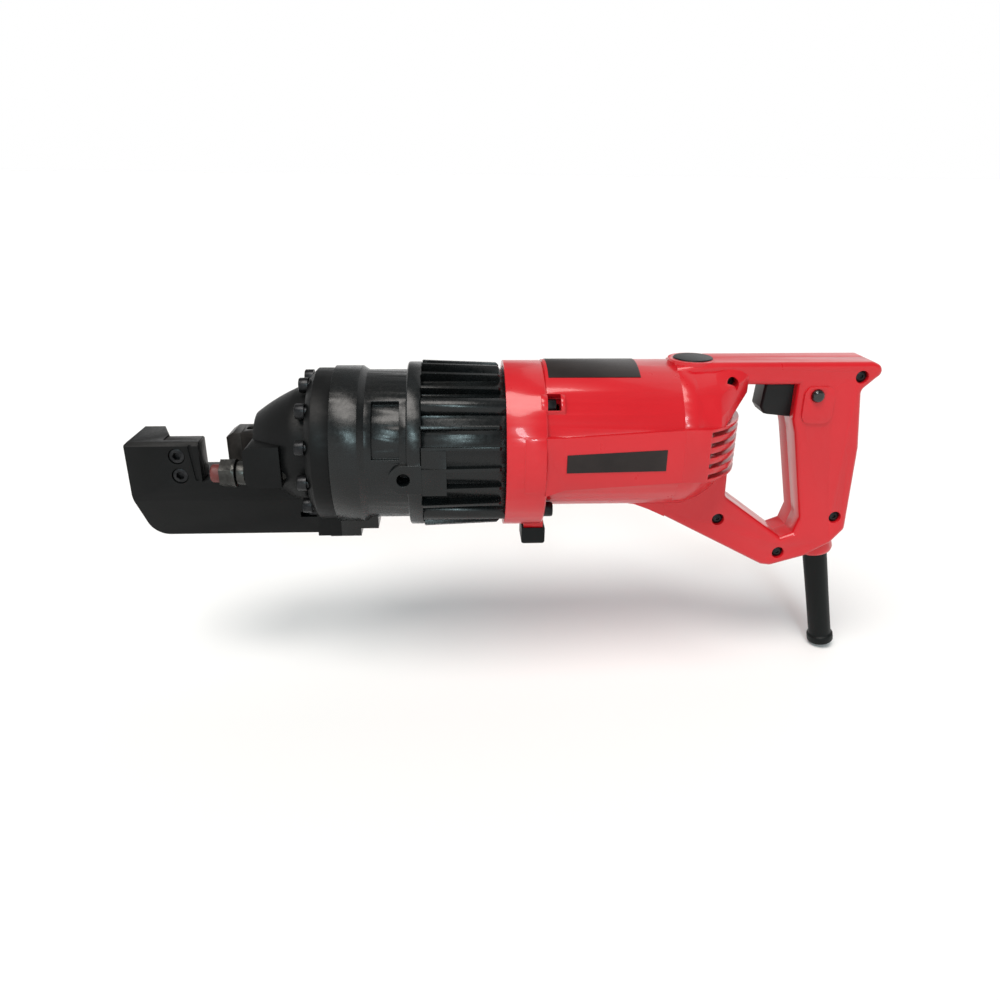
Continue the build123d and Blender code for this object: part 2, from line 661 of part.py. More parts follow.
with BuildPart() as eccentric_ring:
    rod(eccentric_x[0] + 0.5, eccentric_x[1] - 0.5, eccentric_ring_r, eccentric_r,
        at=(0.0, -eccentricity))
save(eccentric_ring, "eccentric_ring")

with BuildPart() as output_gear:
    gear(output_gear_x, second_module, output_gear_teeth,
         to_output + 180 + 180 / output_gear_teeth, (0.0, 0.0), main_shaft_r)
save(output_gear, "output_gear")

with BuildPart() as eccentric_bush:
    rod(cylinder_rear + 1.5, 153.5, 7.0, 5.0 + running)
save(eccentric_bush, "eccentric_bush")


def ball_bearing(x, r_in, r_out, at):
    """Adds a deep-groove ball bearing: two rings and the balls that run between them."""
    middle = (r_in + r_out) / 2
    ball_r = (r_out - r_in) * 0.29
    width = x[1] - x[0]
    rod(*x, r_out, r_out - (r_out - r_in) * 0.3, at=at)
    rod(*x, r_in + (r_out - r_in) * 0.3, r_in, at=at)
    for number in range(8):
        turn = 2 * pi * number / 8
        with Locations((x[0] + width / 2, at[0] + middle * cos(turn), at[1] + middle * sin(turn))):
            Sphere(ball_r)


with BuildPart() as main_bearing:
    ball_bearing(main_bearing_x, main_shaft_r + running, main_bearing_r, (0.0, 0.0))
save(main_bearing, "main_bearing")

# ---------------------------------------------------------------- intermediate gears
with BuildPart() as intermediate_shaft:
    rod(170.0, 208.0, 5.0 - running, at=(lay_y, lay_z))
    gear((178.8, 187.8), second_module, small_gear_teeth, to_output, (lay_y, lay_z))
save(intermediate_shaft, "intermediate_shaft")

with BuildPart() as first_gear:
    gear(first_gear_x, first_module, first_gear_teeth,
         to_lay + 180 + 180 / first_gear_teeth, (lay_y, lay_z), 5.0 - running)
save(first_gear, "first_gear")

with BuildPart() as intermediate_bushes:
    rod(169.5, 177.5, 7.0, 5.0, at=(lay_y, lay_z))
    rod(201.0, bearing_plate_x[1], 7.0, 5.0, at=(lay_y, lay_z))
save(intermediate_bushes, "intermediate_bushes")

with BuildPart() as bearing_plate:
    rod(*bearing_plate_x, 51.8)
    rod(bearing_plate_x[0] - 1, bearing_plate_x[1] + 1, bearing_r, at=(0.0, motor_z),
        mode=Mode.SUBTRACT)
    rod(bearing_plate_x[0] - 1, bearing_plate_x[1] + 1, 7.0, at=(lay_y, lay_z),
        mode=Mode.SUBTRACT)
    with BuildSketch(Plane.YZ.offset(bearing_plate_x[0])) as holes:
        with PolarLocations(long_screw_circle, 4, start_angle=45):
            Circle(long_screw_r + screw_gap)
    extrude(holes.sketch, amount=bearing_plate_x[1] - bearing_plate_x[0], mode=Mode.SUBTRACT)
save(bearing_plate, "bearing_plate")

# ---------------------------------------------------------------- motor
with BuildPart() as armature_shaft:
    gear((189.6, 198.5), first_module, pinion_teeth, to_lay, (0.0, motor_z))
    rod(198.5, 319.5, armature_shaft_r, at=(0.0, motor_z))
save(armature_shaft, "armature_shaft")

with BuildPart() as armature_core:
    with BuildSketch(Plane.YZ.offset(core_x[0])) as lamination:
        with Locations((0.0, motor_z)):
            Circle(core_r)
            Circle(armature_shaft_r, mode=Mode.SUBTRACT)
            with PolarLocations(core_r - 5.0, slot_count):
                Rectangle(11.0, 3.4, mode=Mode.SUBTRACT)
    extrude(lamination.sketch, amount=core_x[1] - core_x[0])
save(armature_core, "armature_core")

with BuildPart() as armature_winding:
    for x in ((core_x[0] - 5.0, core_x[0]), (core_x[1], core_x[1] + 5.0)):
        rod(*x, core_r - 2.0, armature_shaft_r, at=(0.0, motor_z))
    with BuildSketch(Plane.YZ.offset(core_x[0])) as strands:
        with Locations((0.0, motor_z)):
            with PolarLocations(core_r - 5.6, slot_count):
                Rectangle(9.4, 3.2)
    extrude(strands.sketch, amount=core_x[1] - core_x[0])
save(armature_winding, "armature_winding")

with BuildPart() as commutator:
    rod(*commutator_x, commutator_r, armature_shaft_r, at=(0.0, motor_z))
    with BuildSketch(Plane.YZ.offset(commutator_x[0] + 2)) as slits:
        with Locations((0.0, motor_z)):
            with PolarLocations(commutator_r, 2 * slot_count):
                Rectangle(2.0, 0.6)
    extrude(slits.sketch, amount=commutator_x[1] - commutator_x[0], mode=Mode.SUBTRACT)
save(commutator, "commutator")

with BuildPart() as cooling_fan:
    rod(fan_x[0], fan_x[0] + 2.0, fan_r, armature_shaft_r, at=(0.0, motor_z))
    rod(fan_x[0] + 2.0, fan_x[1], 11.0, armature_shaft_r, at=(0.0, motor_z))
    with BuildSketch(Plane.YZ.offset(fan_x[0] + 2.0)) as blades:
        with Locations((0.0, motor_z)):
            with PolarLocations(26.0, 12):
                Rectangle(26.0, 1.8, rotation=24)
    extrude(blades.sketch, amount=fan_x[1] - fan_x[0] - 5.0)
save(cooling_fan, "cooling_fan")

with BuildPart() as motor_bearings:
    for x in (201.0, 311.0):
        ball_bearing((x, x + bearing_width), armature_shaft_r + running, bearing_r, (0.0, motor_z))
save(motor_bearings, "motor_bearings")

with BuildPart() as bearing_bracket:
    with BuildSketch(Plane.YZ.offset(309.0)) as spider:
        with Locations((0.0, motor_z)):
            Circle(bearing_r + 4.0)
            Rectangle(2 * barrel_bore_r - 1.0, 9.0)
            Rectangle(9.0, 2 * barrel_bore_r - 1.0)
    extrude(spider.sketch, amount=5.0)
    rod(314.0, 320.0, bearing_r + 4.0, at=(0.0, motor_z))
    rod(311.0, 321.0, bearing_r, at=(0.0, motor_z), mode=Mode.SUBTRACT)
    rod(308.0, 312.0, armature_shaft_r + 1.0, at=(0.0, motor_z), mode=Mode.SUBTRACT)
save(bearing_bracket, "bearing_bracket")

with BuildPart() as stator_core:
    with BuildSketch(Plane.YZ.offset(core_x[0])) as lamination:
        with Locations((0.0, motor_z)):
            Circle(barrel_bore_r)
            Circle(core_r + 12.0, mode=Mode.SUBTRACT)
            Rectangle(26.0, 2 * (core_r + 12.5))
            Circle(core_r + air_gap, mode=Mode.SUBTRACT)
    extrude(lamination.sketch, amount=core_x[1] - core_x[0])
save(stator_core, "stator_core")

with BuildPart() as field_coils:
    for side in (-1, 1):
        for y in ((-21.0, -13.3), (13.3, 21.0)):
            brick((core_x[0] - 6.0, core_x[1] + 6.0), y,
                  sorted((motor_z + side * 27.5, motor_z + side * 31.0)))
        for x in ((core_x[0] - 6.0, core_x[0] - 1.0), (core_x[1] + 1.0, core_x[1] + 6.0)):
            brick(x, (-13.3, 13.3), sorted((motor_z + side * 27.5, motor_z + side * 31.0)))
save(field_coils, "field_coils")

with BuildPart() as brush_holders:
    for side in (-1, 1):
        brick((brush_x - 5.0, brush_x + 5.0), sorted((side * 18.0, side * 44.0)),
              (motor_z - 7.0, motor_z + 7.0))
        brick((brush_x - 3.0, brush_x + 3.0), sorted((side * 17.0, side * 42.0)),
              (motor_z - 5.0, motor_z + 5.0), mode=Mode.SUBTRACT)
save(brush_holders, "brush_holders")

with BuildPart() as carbon_brushes:
    for side in (-1, 1):
        brick((brush_x - 2.9, brush_x + 2.9),
              sorted((side * (commutator_r + 0.2), side * (commutator_r + 16.0))),
              (motor_z - 4.9, motor_z + 4.9))
save(carbon_brushes, "carbon_brushes")

with BuildPart() as motor_housing:
    rod(case_rear, ring_rear, case_r)
    chamfer(motor_housing.edges().filter_by(GeomType.CIRCLE).group_by(Axis.X)[-1], 1.2)
    rod(ring_rear, motor_rear, barrel_r, at=(0.0, motor_z))
    # flat side panels, flared where they meet the ring
    plate_outline([(side_panel_start, side_panel_front[0]), (side_panel_start, side_panel_front[1]),
                   (motor_rear, side_panel_rear[1]), (motor_rear, side_panel_rear[0])],
                  -side_panel_reach, side_panel_reach)
    with BuildSketch(Plane.YZ.offset(side_panel_start)) as panel_end:
        with Locations((0.0, sum(side_panel_front) / 2)):
            Rectangle(2 * side_panel_reach, side_panel_front[1] - side_panel_front[0])
    with BuildSketch(Plane.YZ.offset(ring_rear - 1)) as flared:
        with Locations((0.0, sum(side_panel_front) / 2 - 1.0)):
            Rectangle(2 * side_panel_reach + 7.0, side_panel_front[1] - side_panel_front[0] + 4.0)
    loft(sections=[flared.sketch.faces()[0], panel_end.sketch.faces()[0]], ruled=True)
    # keel that grows into the handle's lower strut
    with BuildSketch(Plane.XZ) as keel:
        with BuildLine():
            Polyline((280.0, -20.0), (280.0, -38.5), (292.0, -40.2), (302.0, -44.0),
                     (motor_rear, -49.8), (motor_rear, -20.0), close=True)
        make_face()
    extrude(keel.sketch, amount=grip_half_width, both=True)
    # foot lug under the ring, raised pad on each side of the ring
    brick((216.0, 229.5), (-9.0, 9.0), (-62.5, -45.0))
    for angle0, angle1 in ((70, 107), (-107, -70)):
        sector(212.0, ring_rear - 1.2, case_r - 2, case_r + 0.6, angle0, angle1)
    rod(case_rear - 1, bearing_plate_x[1], 51.8, mode=Mode.SUBTRACT)
    rod(bearing_plate_x[1] - 1, 226.0, 45.0, at=(0.0, motor_z), mode=Mode.SUBTRACT)
    for place in (on_circle(45, long_screw_circle), on_circle(-45, long_screw_circle)):
        rod(ring_rear - 4, 237.5, 8.2, at=place)
    rod(225.0, 229.0, 41.0, at=(0.0, motor_z), mode=Mode.SUBTRACT)
    rod(237.5, motor_rear + 1, barrel_bore_r, at=(0.0, motor_z), mode=Mode.SUBTRACT)
    rod(229.0, 237.6, 41.0, at=(0.0, motor_z), mode=Mode.SUBTRACT)
    for angle in (45, 135, 225, 315):
        place = on_circle(angle, long_screw_circle)
        rod(case_rear, ring_rear + 1, long_screw_r + screw_gap, at=place, mode=Mode.SUBTRACT)
        rod(ring_rear, ring_rear + long_screw_pocket_length, long_screw_pocket_r, at=place,
            mode=Mode.SUBTRACT)
    for angle in (45, -45):
        with BuildSketch(Plane.YZ.offset(ring_rear)) as way_out:
            with Locations(on_circle(angle, long_screw_circle + 6)):
                Rectangle(12.0, 2 * long_screw_pocket_r, rotation=angle)
        extrude(way_out.sketch, amount=long_screw_pocket_length, mode=Mode.SUBTRACT)
    upright(cap_x, 0, 52.0, 70.0, cap_collar_r + seat, mode=Mode.SUBTRACT)
save(motor_housing, "motor_housing")

with BuildPart() as base_foot:
    brick((214.4, 231.1), (-10.5, 10.5), (-73.2, -60.5))
    chamfer(base_foot.edges().group_by(Axis.Z)[0], 1.2)
    brick((216.0, 229.5), (-9.0, 9.0), (-62.5, -60.0), mode=Mode.SUBTRACT)
save(base_foot, "base_foot")

with BuildPart() as housing_screws:
    for angle in (45, 135, 225, 315):
        place = on_circle(angle, long_screw_circle)
        rod(cylinder_rear - 8.0, ring_rear, long_screw_r, at=place)
        rod(ring_rear, ring_rear + long_screw_head_length, long_screw_head_r, at=place)
        with BuildSketch(Plane.YZ.offset(ring_rear + long_screw_head_length)) as key:
            with Locations(place):
                RegularPolygon(2.8, 6)
        extrude(key.sketch, amount=-3.0, mode=Mode.SUBTRACT)
save(housing_screws, "housing_screws")

with BuildPart() as nameplates:
    for side in (-1, 1):
        plate_outline([(239.0, -4.2), (239.0, 7.8), (303.0, 11.0), (303.0, -3.2)],
                      *sorted((side * side_panel_reach, side * (side_panel_reach + 0.5))))
save(nameplates, "nameplates")

with BuildPart() as top_label:
    with BuildSketch(Plane.YZ.offset(228.5)) as patch:
        with Locations((0, motor_z)):
            Circle(barrel_r + 0.35)
            Circle(barrel_r, mode=Mode.SUBTRACT)
        with BuildLine():
            Polyline((0, motor_z), (-40, motor_z + 75), (40, motor_z + 75), close=True)
        make_face(mode=Mode.INTERSECT)
    extrude(patch.sketch, amount=60.0)
save(top_label, "top_label")

# ---------------------------------------------------------------- handle
guard_way = (sin(radians(guard_tilt)), 0, -cos(radians(guard_tilt)))
guard_top = (433.4, 0, -77.0)
guard_plane = Plane(origin=guard_top, x_dir=guard_way, z_dir=(0, 1, 0))
guard_axis = Axis(guard_top, guard_way)


def sleeve(points, mode=Mode.ADD):
    """Adds a piece turned about the cord guard's axis from (distance, radius) points."""
    with BuildSketch(guard_plane) as face:
        with BuildLine():
            Polyline(*points, close=True)
        make_face()
    revolve(face.sketch, guard_axis, mode=mode)


with BuildPart() as handle:
    with BuildSketch(Plane.XZ) as outline:
        with BuildLine():
            Polyline(
                (motor_rear, 56.0), (340.0, handle_top), (446.0, handle_top + 0.4),
                (handle_end, 54.3), (449.0, 48.0), (440.5, 40.0), (445.9, -0.3),
                (446.9, -62.0), (438.0, -73.0), (420.0, -83.5), (396.0, -90.5),
                (389.0, -89.5), (motor_rear, -50.0), close=True,
            )
        make_face()
        fillet(outline.vertices().filter_by(lambda v: v.X > 380 and abs(v.Y) > 30), 5.0)
        with BuildLine():
            Polyline((355.0, bar_bottom), (grip_front, bar_bottom), (grip_front, 19.5),
                     (399.5, 9.7), (412.7, -53.0), (409.5, -64.5), (400.6, -68.0),
                     (356.8, -36.0), close=True)
        make_face(mode=Mode.SUBTRACT)
        inner = outline.vertices().filter_by(lambda v: 354 < v.X < 415 and -69 < v.Y < 45)
        fillet(inner.filter_by(lambda v: v.X < 360), 4.5)
        fillet(inner.filter_by(lambda v: v.Y < -50), 8.0)
    extrude(outline.sketch, amount=grip_half_width, both=True)
    soft = handle.edges().filter_by(lambda e: abs(abs(e.center().Y) - grip_half_width) < 0.01)
    fillet(soft.filter_by(lambda e: e.center().X > motor_rear + 1), 3.5)
    # rear of the motor: a dome, its louvred band and the shoulder that runs into the top bar
    with BuildSketch(Plane((0, 0, motor_z), x_dir=(1, 0, 0), z_dir=(0, -1, 0))) as back:
        with BuildLine():
            Line((motor_rear, 0), (motor_rear, barrel_r))
            Line((motor_rear, barrel_r), (322.0, barrel_r))
            ThreePointArc((322.0, barrel_r), (347.0, 35.0), (358.0, 0))
            Line((358.0, 0), (motor_rear, 0))
        make_face()
    revolve(back.sketch, motor_axis)
    with BuildSketch(Plane.XY.offset(side_panel_rear[0])) as band:
        with BuildLine():
            Polyline((motor_rear, side_panel_reach), (motor_rear, -side_panel_reach),
                     (329.0, -side_panel_reach))
            ThreePointArc((329.0, -side_panel_reach), (350.0, -34.0), (360.0, 0))
            ThreePointArc((360.0, 0), (350.0, 34.0), (329.0, side_panel_reach))
            Line((329.0, side_panel_reach), (motor_rear, side_panel_reach))
        make_face()
    extrude(band.sketch, amount=side_panel_rear[1] - side_panel_rear[0])
    with BuildSketch(Plane.YZ.offset(motor_rear)) as shoulder_front:
        with BuildLine():
            Polyline((-48.2, 19.5), (-44.5, 29.0), (-35.5, 42.0), (-21.0, 52.2), (0, 56.9),
                     (21.0, 52.2), (35.5, 42.0), (44.5, 29.0), (48.2, 19.5), close=True)
        make_face()
    with BuildSketch(Plane.YZ.offset(338.0)) as shoulder_middle:
        with BuildLine():
            Polyline((-46.0, 20.5), (-42.5, 30.0), (-34.5, 42.5), (-20.5, 52.6), (0, 57.6),
                     (20.5, 52.6), (34.5, 42.5), (42.5, 30.0), (46.0, 20.5), close=True)
        make_face()
    with BuildSketch(Plane.YZ.offset(362.0)) as shoulder_back:
        with BuildLine():
            Polyline((-17.0, 39.5), (-17.1, 43.0), (-17.2, 50.0), (-13.5, 57.5), (0, 58.7),
                     (13.5, 57.5), (17.2, 50.0), (17.1, 43.0), (17.0, 39.5), close=True)
        make_face()
    loft(sections=[shoulder_front.sketch.faces()[0], shoulder_middle.sketch.faces()[0],
                   shoulder_back.sketch.faces()[0]], ruled=True)
    upright(cap_x, 0, 53.0, cap_top - 0.8, cap_collar_r)
    with BuildSketch(Plane.XZ.offset(10)) as pad:
        with Locations((411.3, 30.6)):
            RectangleRounded(20.6, 25.3, 6.0)
    extrude(pad.sketch, amount=grip_half_width + 1.6 - 10)
    sleeve([(-6, 0), (-6, 11.5), (5.5, 12.5), (8.0, 11.5), (8.0, 0)])
    # hollow inside
    turned([(motor_rear - 1, 0), (motor_rear - 1, barrel_bore_r), (323.0, barrel_bore_r),
            (337.0, 39.5), (346.5, 30.0), (353.0, 15.0), (354.8, 0)], motor_z,
           mode=Mode.SUBTRACT)
    inner_half = grip_half_width - shell_wall
    bar_hollow = (bar_bottom + shell_wall, handle_top - shell_wall - 0.2)
    brick((340.0, 440.0), (-inner_half, inner_half), bar_hollow, mode=Mode.SUBTRACT)
    brick((338.5, 345.0), (-9.0, 9.0), (36.0, bar_hollow[1]), mode=Mode.SUBTRACT)
    plate_outline([(400.0, 48.0), (436.5, 48.0), (437.3, 42.0), (442.6, 0.0), (443.6, -61.0),
                   (436.0, -70.0), (421.0, -79.0), (408.0, -71.5), (416.8, -58.0),
                   (403.3, 9.0), (400.0, 16.5)], -inner_half, inner_half, mode=Mode.SUBTRACT)
    plate_outline([(335.0, -36.0), (352.0, -38.0), (400.0, -71.5), (409.0, -71.5),
                   (418.0, -79.5), (396.0, -86.8), (335.0, -56.0)],
                  -inner_half, inner_half, mode=Mode.SUBTRACT)
    brick((grip_front - 2, 404.0), (-trigger_half_width - loose, trigger_half_width + loose),
          (trigger_z[0] - loose, bar_bottom), mode=Mode.SUBTRACT)
    for x, z in handle_screw_places:
        cross_rod(x, z, -grip_half_width, grip_half_width, 5.2)
    brick((420.0, 434.0), (8.4, grip_half_width - 1), (-68.0, -60.0))
    sleeve([(-10, 0), (-10, 5.2), (0, 5.2), (0, guard_r), (9, guard_r), (9, 0)],
           mode=Mode.SUBTRACT)
    for x, z in handle_screw_places:
        cross_rod(x, z, -grip_half_width - 9, grip_half_width - 3.0,
                  handle_screw_r + screw_gap, mode=Mode.SUBTRACT)
        cross_rod(x, z, -grip_half_width - 9, -grip_half_width + 4.5,
                  handle_screw_head_r + 0.5, mode=Mode.SUBTRACT)
    cross_rod(lock_button_x, lock_button_z, -grip_half_width - 3, -inner_half + 1,
              lock_button_r + 0.15, mode=Mode.SUBTRACT)
    upright(cap_x, 0, 30.0, cap_top + 2, cap_r, mode=Mode.SUBTRACT)
    upright(cap_x, 0, 30.0, 55.0, cap_collar_r - 1.0, mode=Mode.SUBTRACT)
    # louvres through the band's curved wall, all round but for a rib in the middle
    for row in range(louvre_count):
        z = louvre_top - row * louvre_pitch
        for side in (-1, 1):
            brick((331.0, 364.0), sorted((side * 4.0, side * 60.0)), (z - louvre_height, z),
                  mode=Mode.SUBTRACT)

with BuildPart() as left_handle_shell:
    add(handle.part)
    split(bisect_by=Plane.XZ, keep=Keep.TOP)
save(left_handle_shell, "left_handle_shell")

with BuildPart() as right_handle_shell:
    add(handle.part)
    split(bisect_by=Plane.XZ, keep=Keep.BOTTOM)
save(right_handle_shell, "right_handle_shell")

with BuildPart() as handle_screws:
    for x, z in handle_screw_places:
        cross_rod(x, z, -grip_half_width + 1.5, -grip_half_width + 4.5, handle_screw_head_r)
        cross_rod(x, z, -grip_half_width + 4.5, grip_half_width - 3.5, handle_screw_r)
        with BuildSketch(Plane.XZ.offset(grip_half_width)) as cross:
            with Locations((x, z)):
                Rectangle(4.4, 1.0)
                Rectangle(1.0, 4.4)
        extrude(cross.sketch, amount=-3.0, mode=Mode.SUBTRACT)
save(handle_screws, "handle_screws")

with BuildPart() as top_cap:
    upright(cap_x, 0, 55.0, cap_top, cap_r)
    upright(cap_x, 0, 53.0, 55.0, cap_r - 1.5)
    chamfer(top_cap.edges().filter_by(GeomType.CIRCLE).group_by(Axis.Z)[-1], 0.6)
save(top_cap, "top_cap")

# ---------------------------------------------------------------- switch gear
with BuildPart() as trigger:
    plate_outline([(trigger_front + 0.4, trigger_z[1]), (trigger_front - 1.0, 26.5),
                   (trigger_front + 1.8, trigger_z[0] + 1.8), (trigger_front + 18.0, trigger_z[0]),
                   (405.0, trigger_z[0]), (405.0, trigger_z[1])],
                  -trigger_half_width, trigger_half_width)
    chamfer(trigger.edges().filter_by(lambda e: e.center().X < 392
                                      and abs(abs(e.center().Y) - trigger_half_width) < 0.1
                                      and abs(e.center().X - trigger_front) < 1.2), 1.5)
    rod(405.0, 412.5, 2.0, at=(0.0, 30.0))
    rod(398.5, 405.5, 4.2, 2.0, at=(0.0, 30.0), mode=Mode.SUBTRACT)
save(trigger, "trigger")

with BuildPart() as trigger_spring:
    for turn in range(5):
        with BuildSketch(Plane((0, 0, 30.0), x_dir=(1, 0, 0), z_dir=(0, -1, 0))) as wire:
            with Locations((399.0 + turn * 3.0, 3.2)):
                Circle(0.5)
        revolve(wire.sketch, Axis((0, 0, 30.0), (1, 0, 0)))
save(trigger_spring, "trigger_spring")

with BuildPart() as switch_body:
    brick((411.8, 435.0), (-8.0, 8.0), (19.0, 41.0))
    rod(411.0, 422.0, 2.0 + loose, at=(0.0, 30.0), mode=Mode.SUBTRACT)
save(switch_body, "switch_body")

with BuildPart() as lock_button:
    cross_rod(lock_button_x, lock_button_z, -grip_half_width - 4.6, -12.9, lock_button_r)
    fillet(lock_button.edges().group_by(Axis.Y)[0], 2.4)
    cross_rod(lock_button_x, lock_button_z, -inner_half + 0.3, -12.9, lock_button_r + 1.2)
save(lock_button, "lock_button")

with BuildPart() as motor_leads:
    for y in (-6.5, 6.5):
        with BuildLine() as way:
            FilletPolyline((420.0, y, 41.2), (420.0, y, 53.4), (341.3, y, 53.4),
                           (341.3, y, 36.5), (290.2, y, 36.5), radius=3.0)
        with BuildSketch(Plane(origin=(420.0, y, 41.2), z_dir=(0, 0, 1))) as wire:
            Circle(1.3)
        sweep(sections=wire.sketch, path=way.line)
save(motor_leads, "motor_leads")

with BuildPart() as cord_clamp:
    brick((420.0, 434.0), (5.4, 8.4), (-68.0, -60.0))
save(cord_clamp, "cord_clamp")

with BuildPart() as cord_guard:
    sleeve([(0, guard_bore_r), (0, guard_r - running), (12, guard_r - 0.2),
            (guard_length * 0.55, 8.3), (guard_length - 7, 8.2), (guard_length - 6, 9.6),
            (guard_length - 1, 9.6), (guard_length, 8.9), (guard_length, guard_bore_r)])
save(cord_guard, "cord_guard")
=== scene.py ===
"""Portable electric-hydraulic rebar cutter: finishes, fine pieces, stage and camera.

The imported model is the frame.  Castings, shells and fittings are softened copies of its nodes.
Screws, springs and the stopper's thread are grown with Geometry Nodes where the frame has them.
"""

import json
import math

import bmesh
import bpy
from mathutils import Matrix, Vector


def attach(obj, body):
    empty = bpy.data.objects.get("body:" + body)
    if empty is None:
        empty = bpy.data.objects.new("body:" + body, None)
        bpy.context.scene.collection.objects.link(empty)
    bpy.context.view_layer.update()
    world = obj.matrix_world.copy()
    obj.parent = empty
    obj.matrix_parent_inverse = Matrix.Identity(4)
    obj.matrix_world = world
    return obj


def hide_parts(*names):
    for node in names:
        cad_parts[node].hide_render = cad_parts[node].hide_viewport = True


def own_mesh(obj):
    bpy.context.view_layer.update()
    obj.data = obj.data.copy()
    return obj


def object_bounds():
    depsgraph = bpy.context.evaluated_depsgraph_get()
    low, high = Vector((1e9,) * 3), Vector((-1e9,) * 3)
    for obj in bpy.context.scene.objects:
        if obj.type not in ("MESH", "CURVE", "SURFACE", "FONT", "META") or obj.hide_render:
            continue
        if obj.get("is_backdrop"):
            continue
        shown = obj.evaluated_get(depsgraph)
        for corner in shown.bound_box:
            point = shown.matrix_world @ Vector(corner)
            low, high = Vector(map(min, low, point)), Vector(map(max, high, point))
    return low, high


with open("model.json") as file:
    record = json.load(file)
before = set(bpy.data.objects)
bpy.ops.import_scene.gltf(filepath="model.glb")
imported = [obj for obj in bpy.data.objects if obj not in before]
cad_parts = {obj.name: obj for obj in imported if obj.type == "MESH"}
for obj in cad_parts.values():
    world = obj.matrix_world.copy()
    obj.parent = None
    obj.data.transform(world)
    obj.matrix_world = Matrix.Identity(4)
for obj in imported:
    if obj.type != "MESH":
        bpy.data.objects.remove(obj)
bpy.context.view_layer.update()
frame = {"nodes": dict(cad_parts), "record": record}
BODY_OF = {node: body for body, nodes in frame["record"]["behaviour"]["bodies"].items()
           for node in nodes}
SLOT_OF = {part["node"]: part["material_slot"] for part in frame["record"]["subparts"]}
MM = 0.001

bl_info = {
    "name": "Rebar cutter",
    "version": (1, 0, 0),
    "blender": (4, 5, 0),
    "location": "View3D > Sidebar > Rebar cutter",
    "description": "Dresses a hydraulic rebar cutter in its finishes and sets its studio",
    "category": "Object",
}


# ---------------------------------------------------------------- colours and node helpers
def linear(hex_colour):
    """An sRGB hex colour as linear red, green, blue and alpha."""
    values = [int(hex_colour[i:i + 2], 16) / 255 for i in (0, 2, 4)]
    return tuple(v / 12.92 if v <= 0.04045 else ((v + 0.055) / 1.055) ** 2.4
                 for v in values) + (1.0,)


def node(tree, kind, settings=None, **inputs):
    """Adds a node, sets its properties and fills or links its inputs by name or _number."""
    made = tree.nodes.new(kind)
    for name, value in (settings or {}).items():
        setattr(made, name, value)
    for name, value in inputs.items():
        key = int(name[1:]) if name[1:].isdigit() else name.replace("_", " ")
        socket = made.inputs[key]
        if isinstance(value, bpy.types.NodeSocket):
            tree.links.new(value, socket)
        else:
            socket.default_value = value
    return made


def per_mm(size_mm):
    """Texture scale that gives one feature every size_mm on coordinates in metres."""
    return 1000.0 / size_mm


FINISHES = {}
MOTTLE_BAND = (0.35, 0.68)      # span of the broad noise that fades one colour into the other
GRAIN_BAND = (0.25, 0.75)       # span of the fine noise that sways the roughness
SMOOTHEST = 0.03


def finish(name, colour, second, roughness, metallic=0.0, grain_mm=1.0, bump_mm=0.01,
           rough_swing=0.08, mottle_mm=25.0, mottle=0.35, coat=0.0, coat_roughness=0.1,
           specular=0.5, stretch=(1.0, 1.0, 1.0)):
    """Makes a procedural finish once: mottled colour, grain bump and uneven roughness."""
    if name in FINISHES:
        return FINISHES[name]
    made = bpy.data.materials.new(name)
    made.use_nodes = True
    tree = made.node_tree
    shader = tree.nodes["Principled BSDF"]
    place = node(tree, "ShaderNodeTexCoord").outputs["Object"]
    drawn = node(tree, "ShaderNodeMapping", Vector=place, Scale=stretch).outputs["Vector"]
    broad = node(tree, "ShaderNodeTexNoise", Vector=place, Scale=per_mm(mottle_mm),
                 Detail=4.0, Roughness=0.6).outputs["Fac"]
    fine = node(tree, "ShaderNodeTexNoise", Vector=drawn, Scale=per_mm(grain_mm),
                Detail=3.0, Roughness=0.55).outputs["Fac"]
    spread = node(tree, "ShaderNodeMapRange", Value=broad, _1=MOTTLE_BAND[0],
                  _2=MOTTLE_BAND[1], _3=0.0, _4=mottle).outputs["Result"]
    paint = node(tree, "ShaderNodeMix", {"data_type": "RGBA"}, _0=spread, _6=linear(colour),
                 _7=linear(second)).outputs[2]
    tree.links.new(paint, shader.inputs["Base Color"])
    uneven = node(tree, "ShaderNodeMapRange", Value=fine, _1=GRAIN_BAND[0],
                  _2=GRAIN_BAND[1], _3=max(roughness - rough_swing, SMOOTHEST),
                  _4=roughness + rough_swing)
    tree.links.new(uneven.outputs["Result"], shader.inputs["Roughness"])
    bump = node(tree, "ShaderNodeBump", Height=fine, Strength=1.0, Distance=bump_mm * MM)
    tree.links.new(bump.outputs["Normal"], shader.inputs["Normal"])
    shader.inputs["Metallic"].default_value = metallic
    shader.inputs["Coat Weight"].default_value = coat
    shader.inputs["Coat Roughness"].default_value = coat_roughness
    if metallic < 0.5:
        shader.inputs["Specular IOR Level"].default_value = specular
    FINISHES[name] = made
    return made


def cast_enamel():
    """Black stoving enamel on sand-cast steel: the sand shows through as a soft pebbling."""
    s = bpy.context.scene.rebar_cutter_finishes
    return finish("stoved_enamel_on_cast_steel", s.casting_colour, "12181a", 0.27,
                  grain_mm=2.4, bump_mm=0.05, rough_swing=0.08, mottle_mm=30.0, mottle=0.5,
                  specular=0.34)


def machined_enamel():
    """The same enamel on the forged head: flatter and a little duller."""
    s = bpy.context.scene.rebar_cutter_finishes
    return finish("enamel_on_forged_steel", s.casting_colour, "121213", 0.44,
                  grain_mm=1.4, bump_mm=0.025, rough_swing=0.07, mottle_mm=22.0, mottle=0.6,
                  specular=0.14)


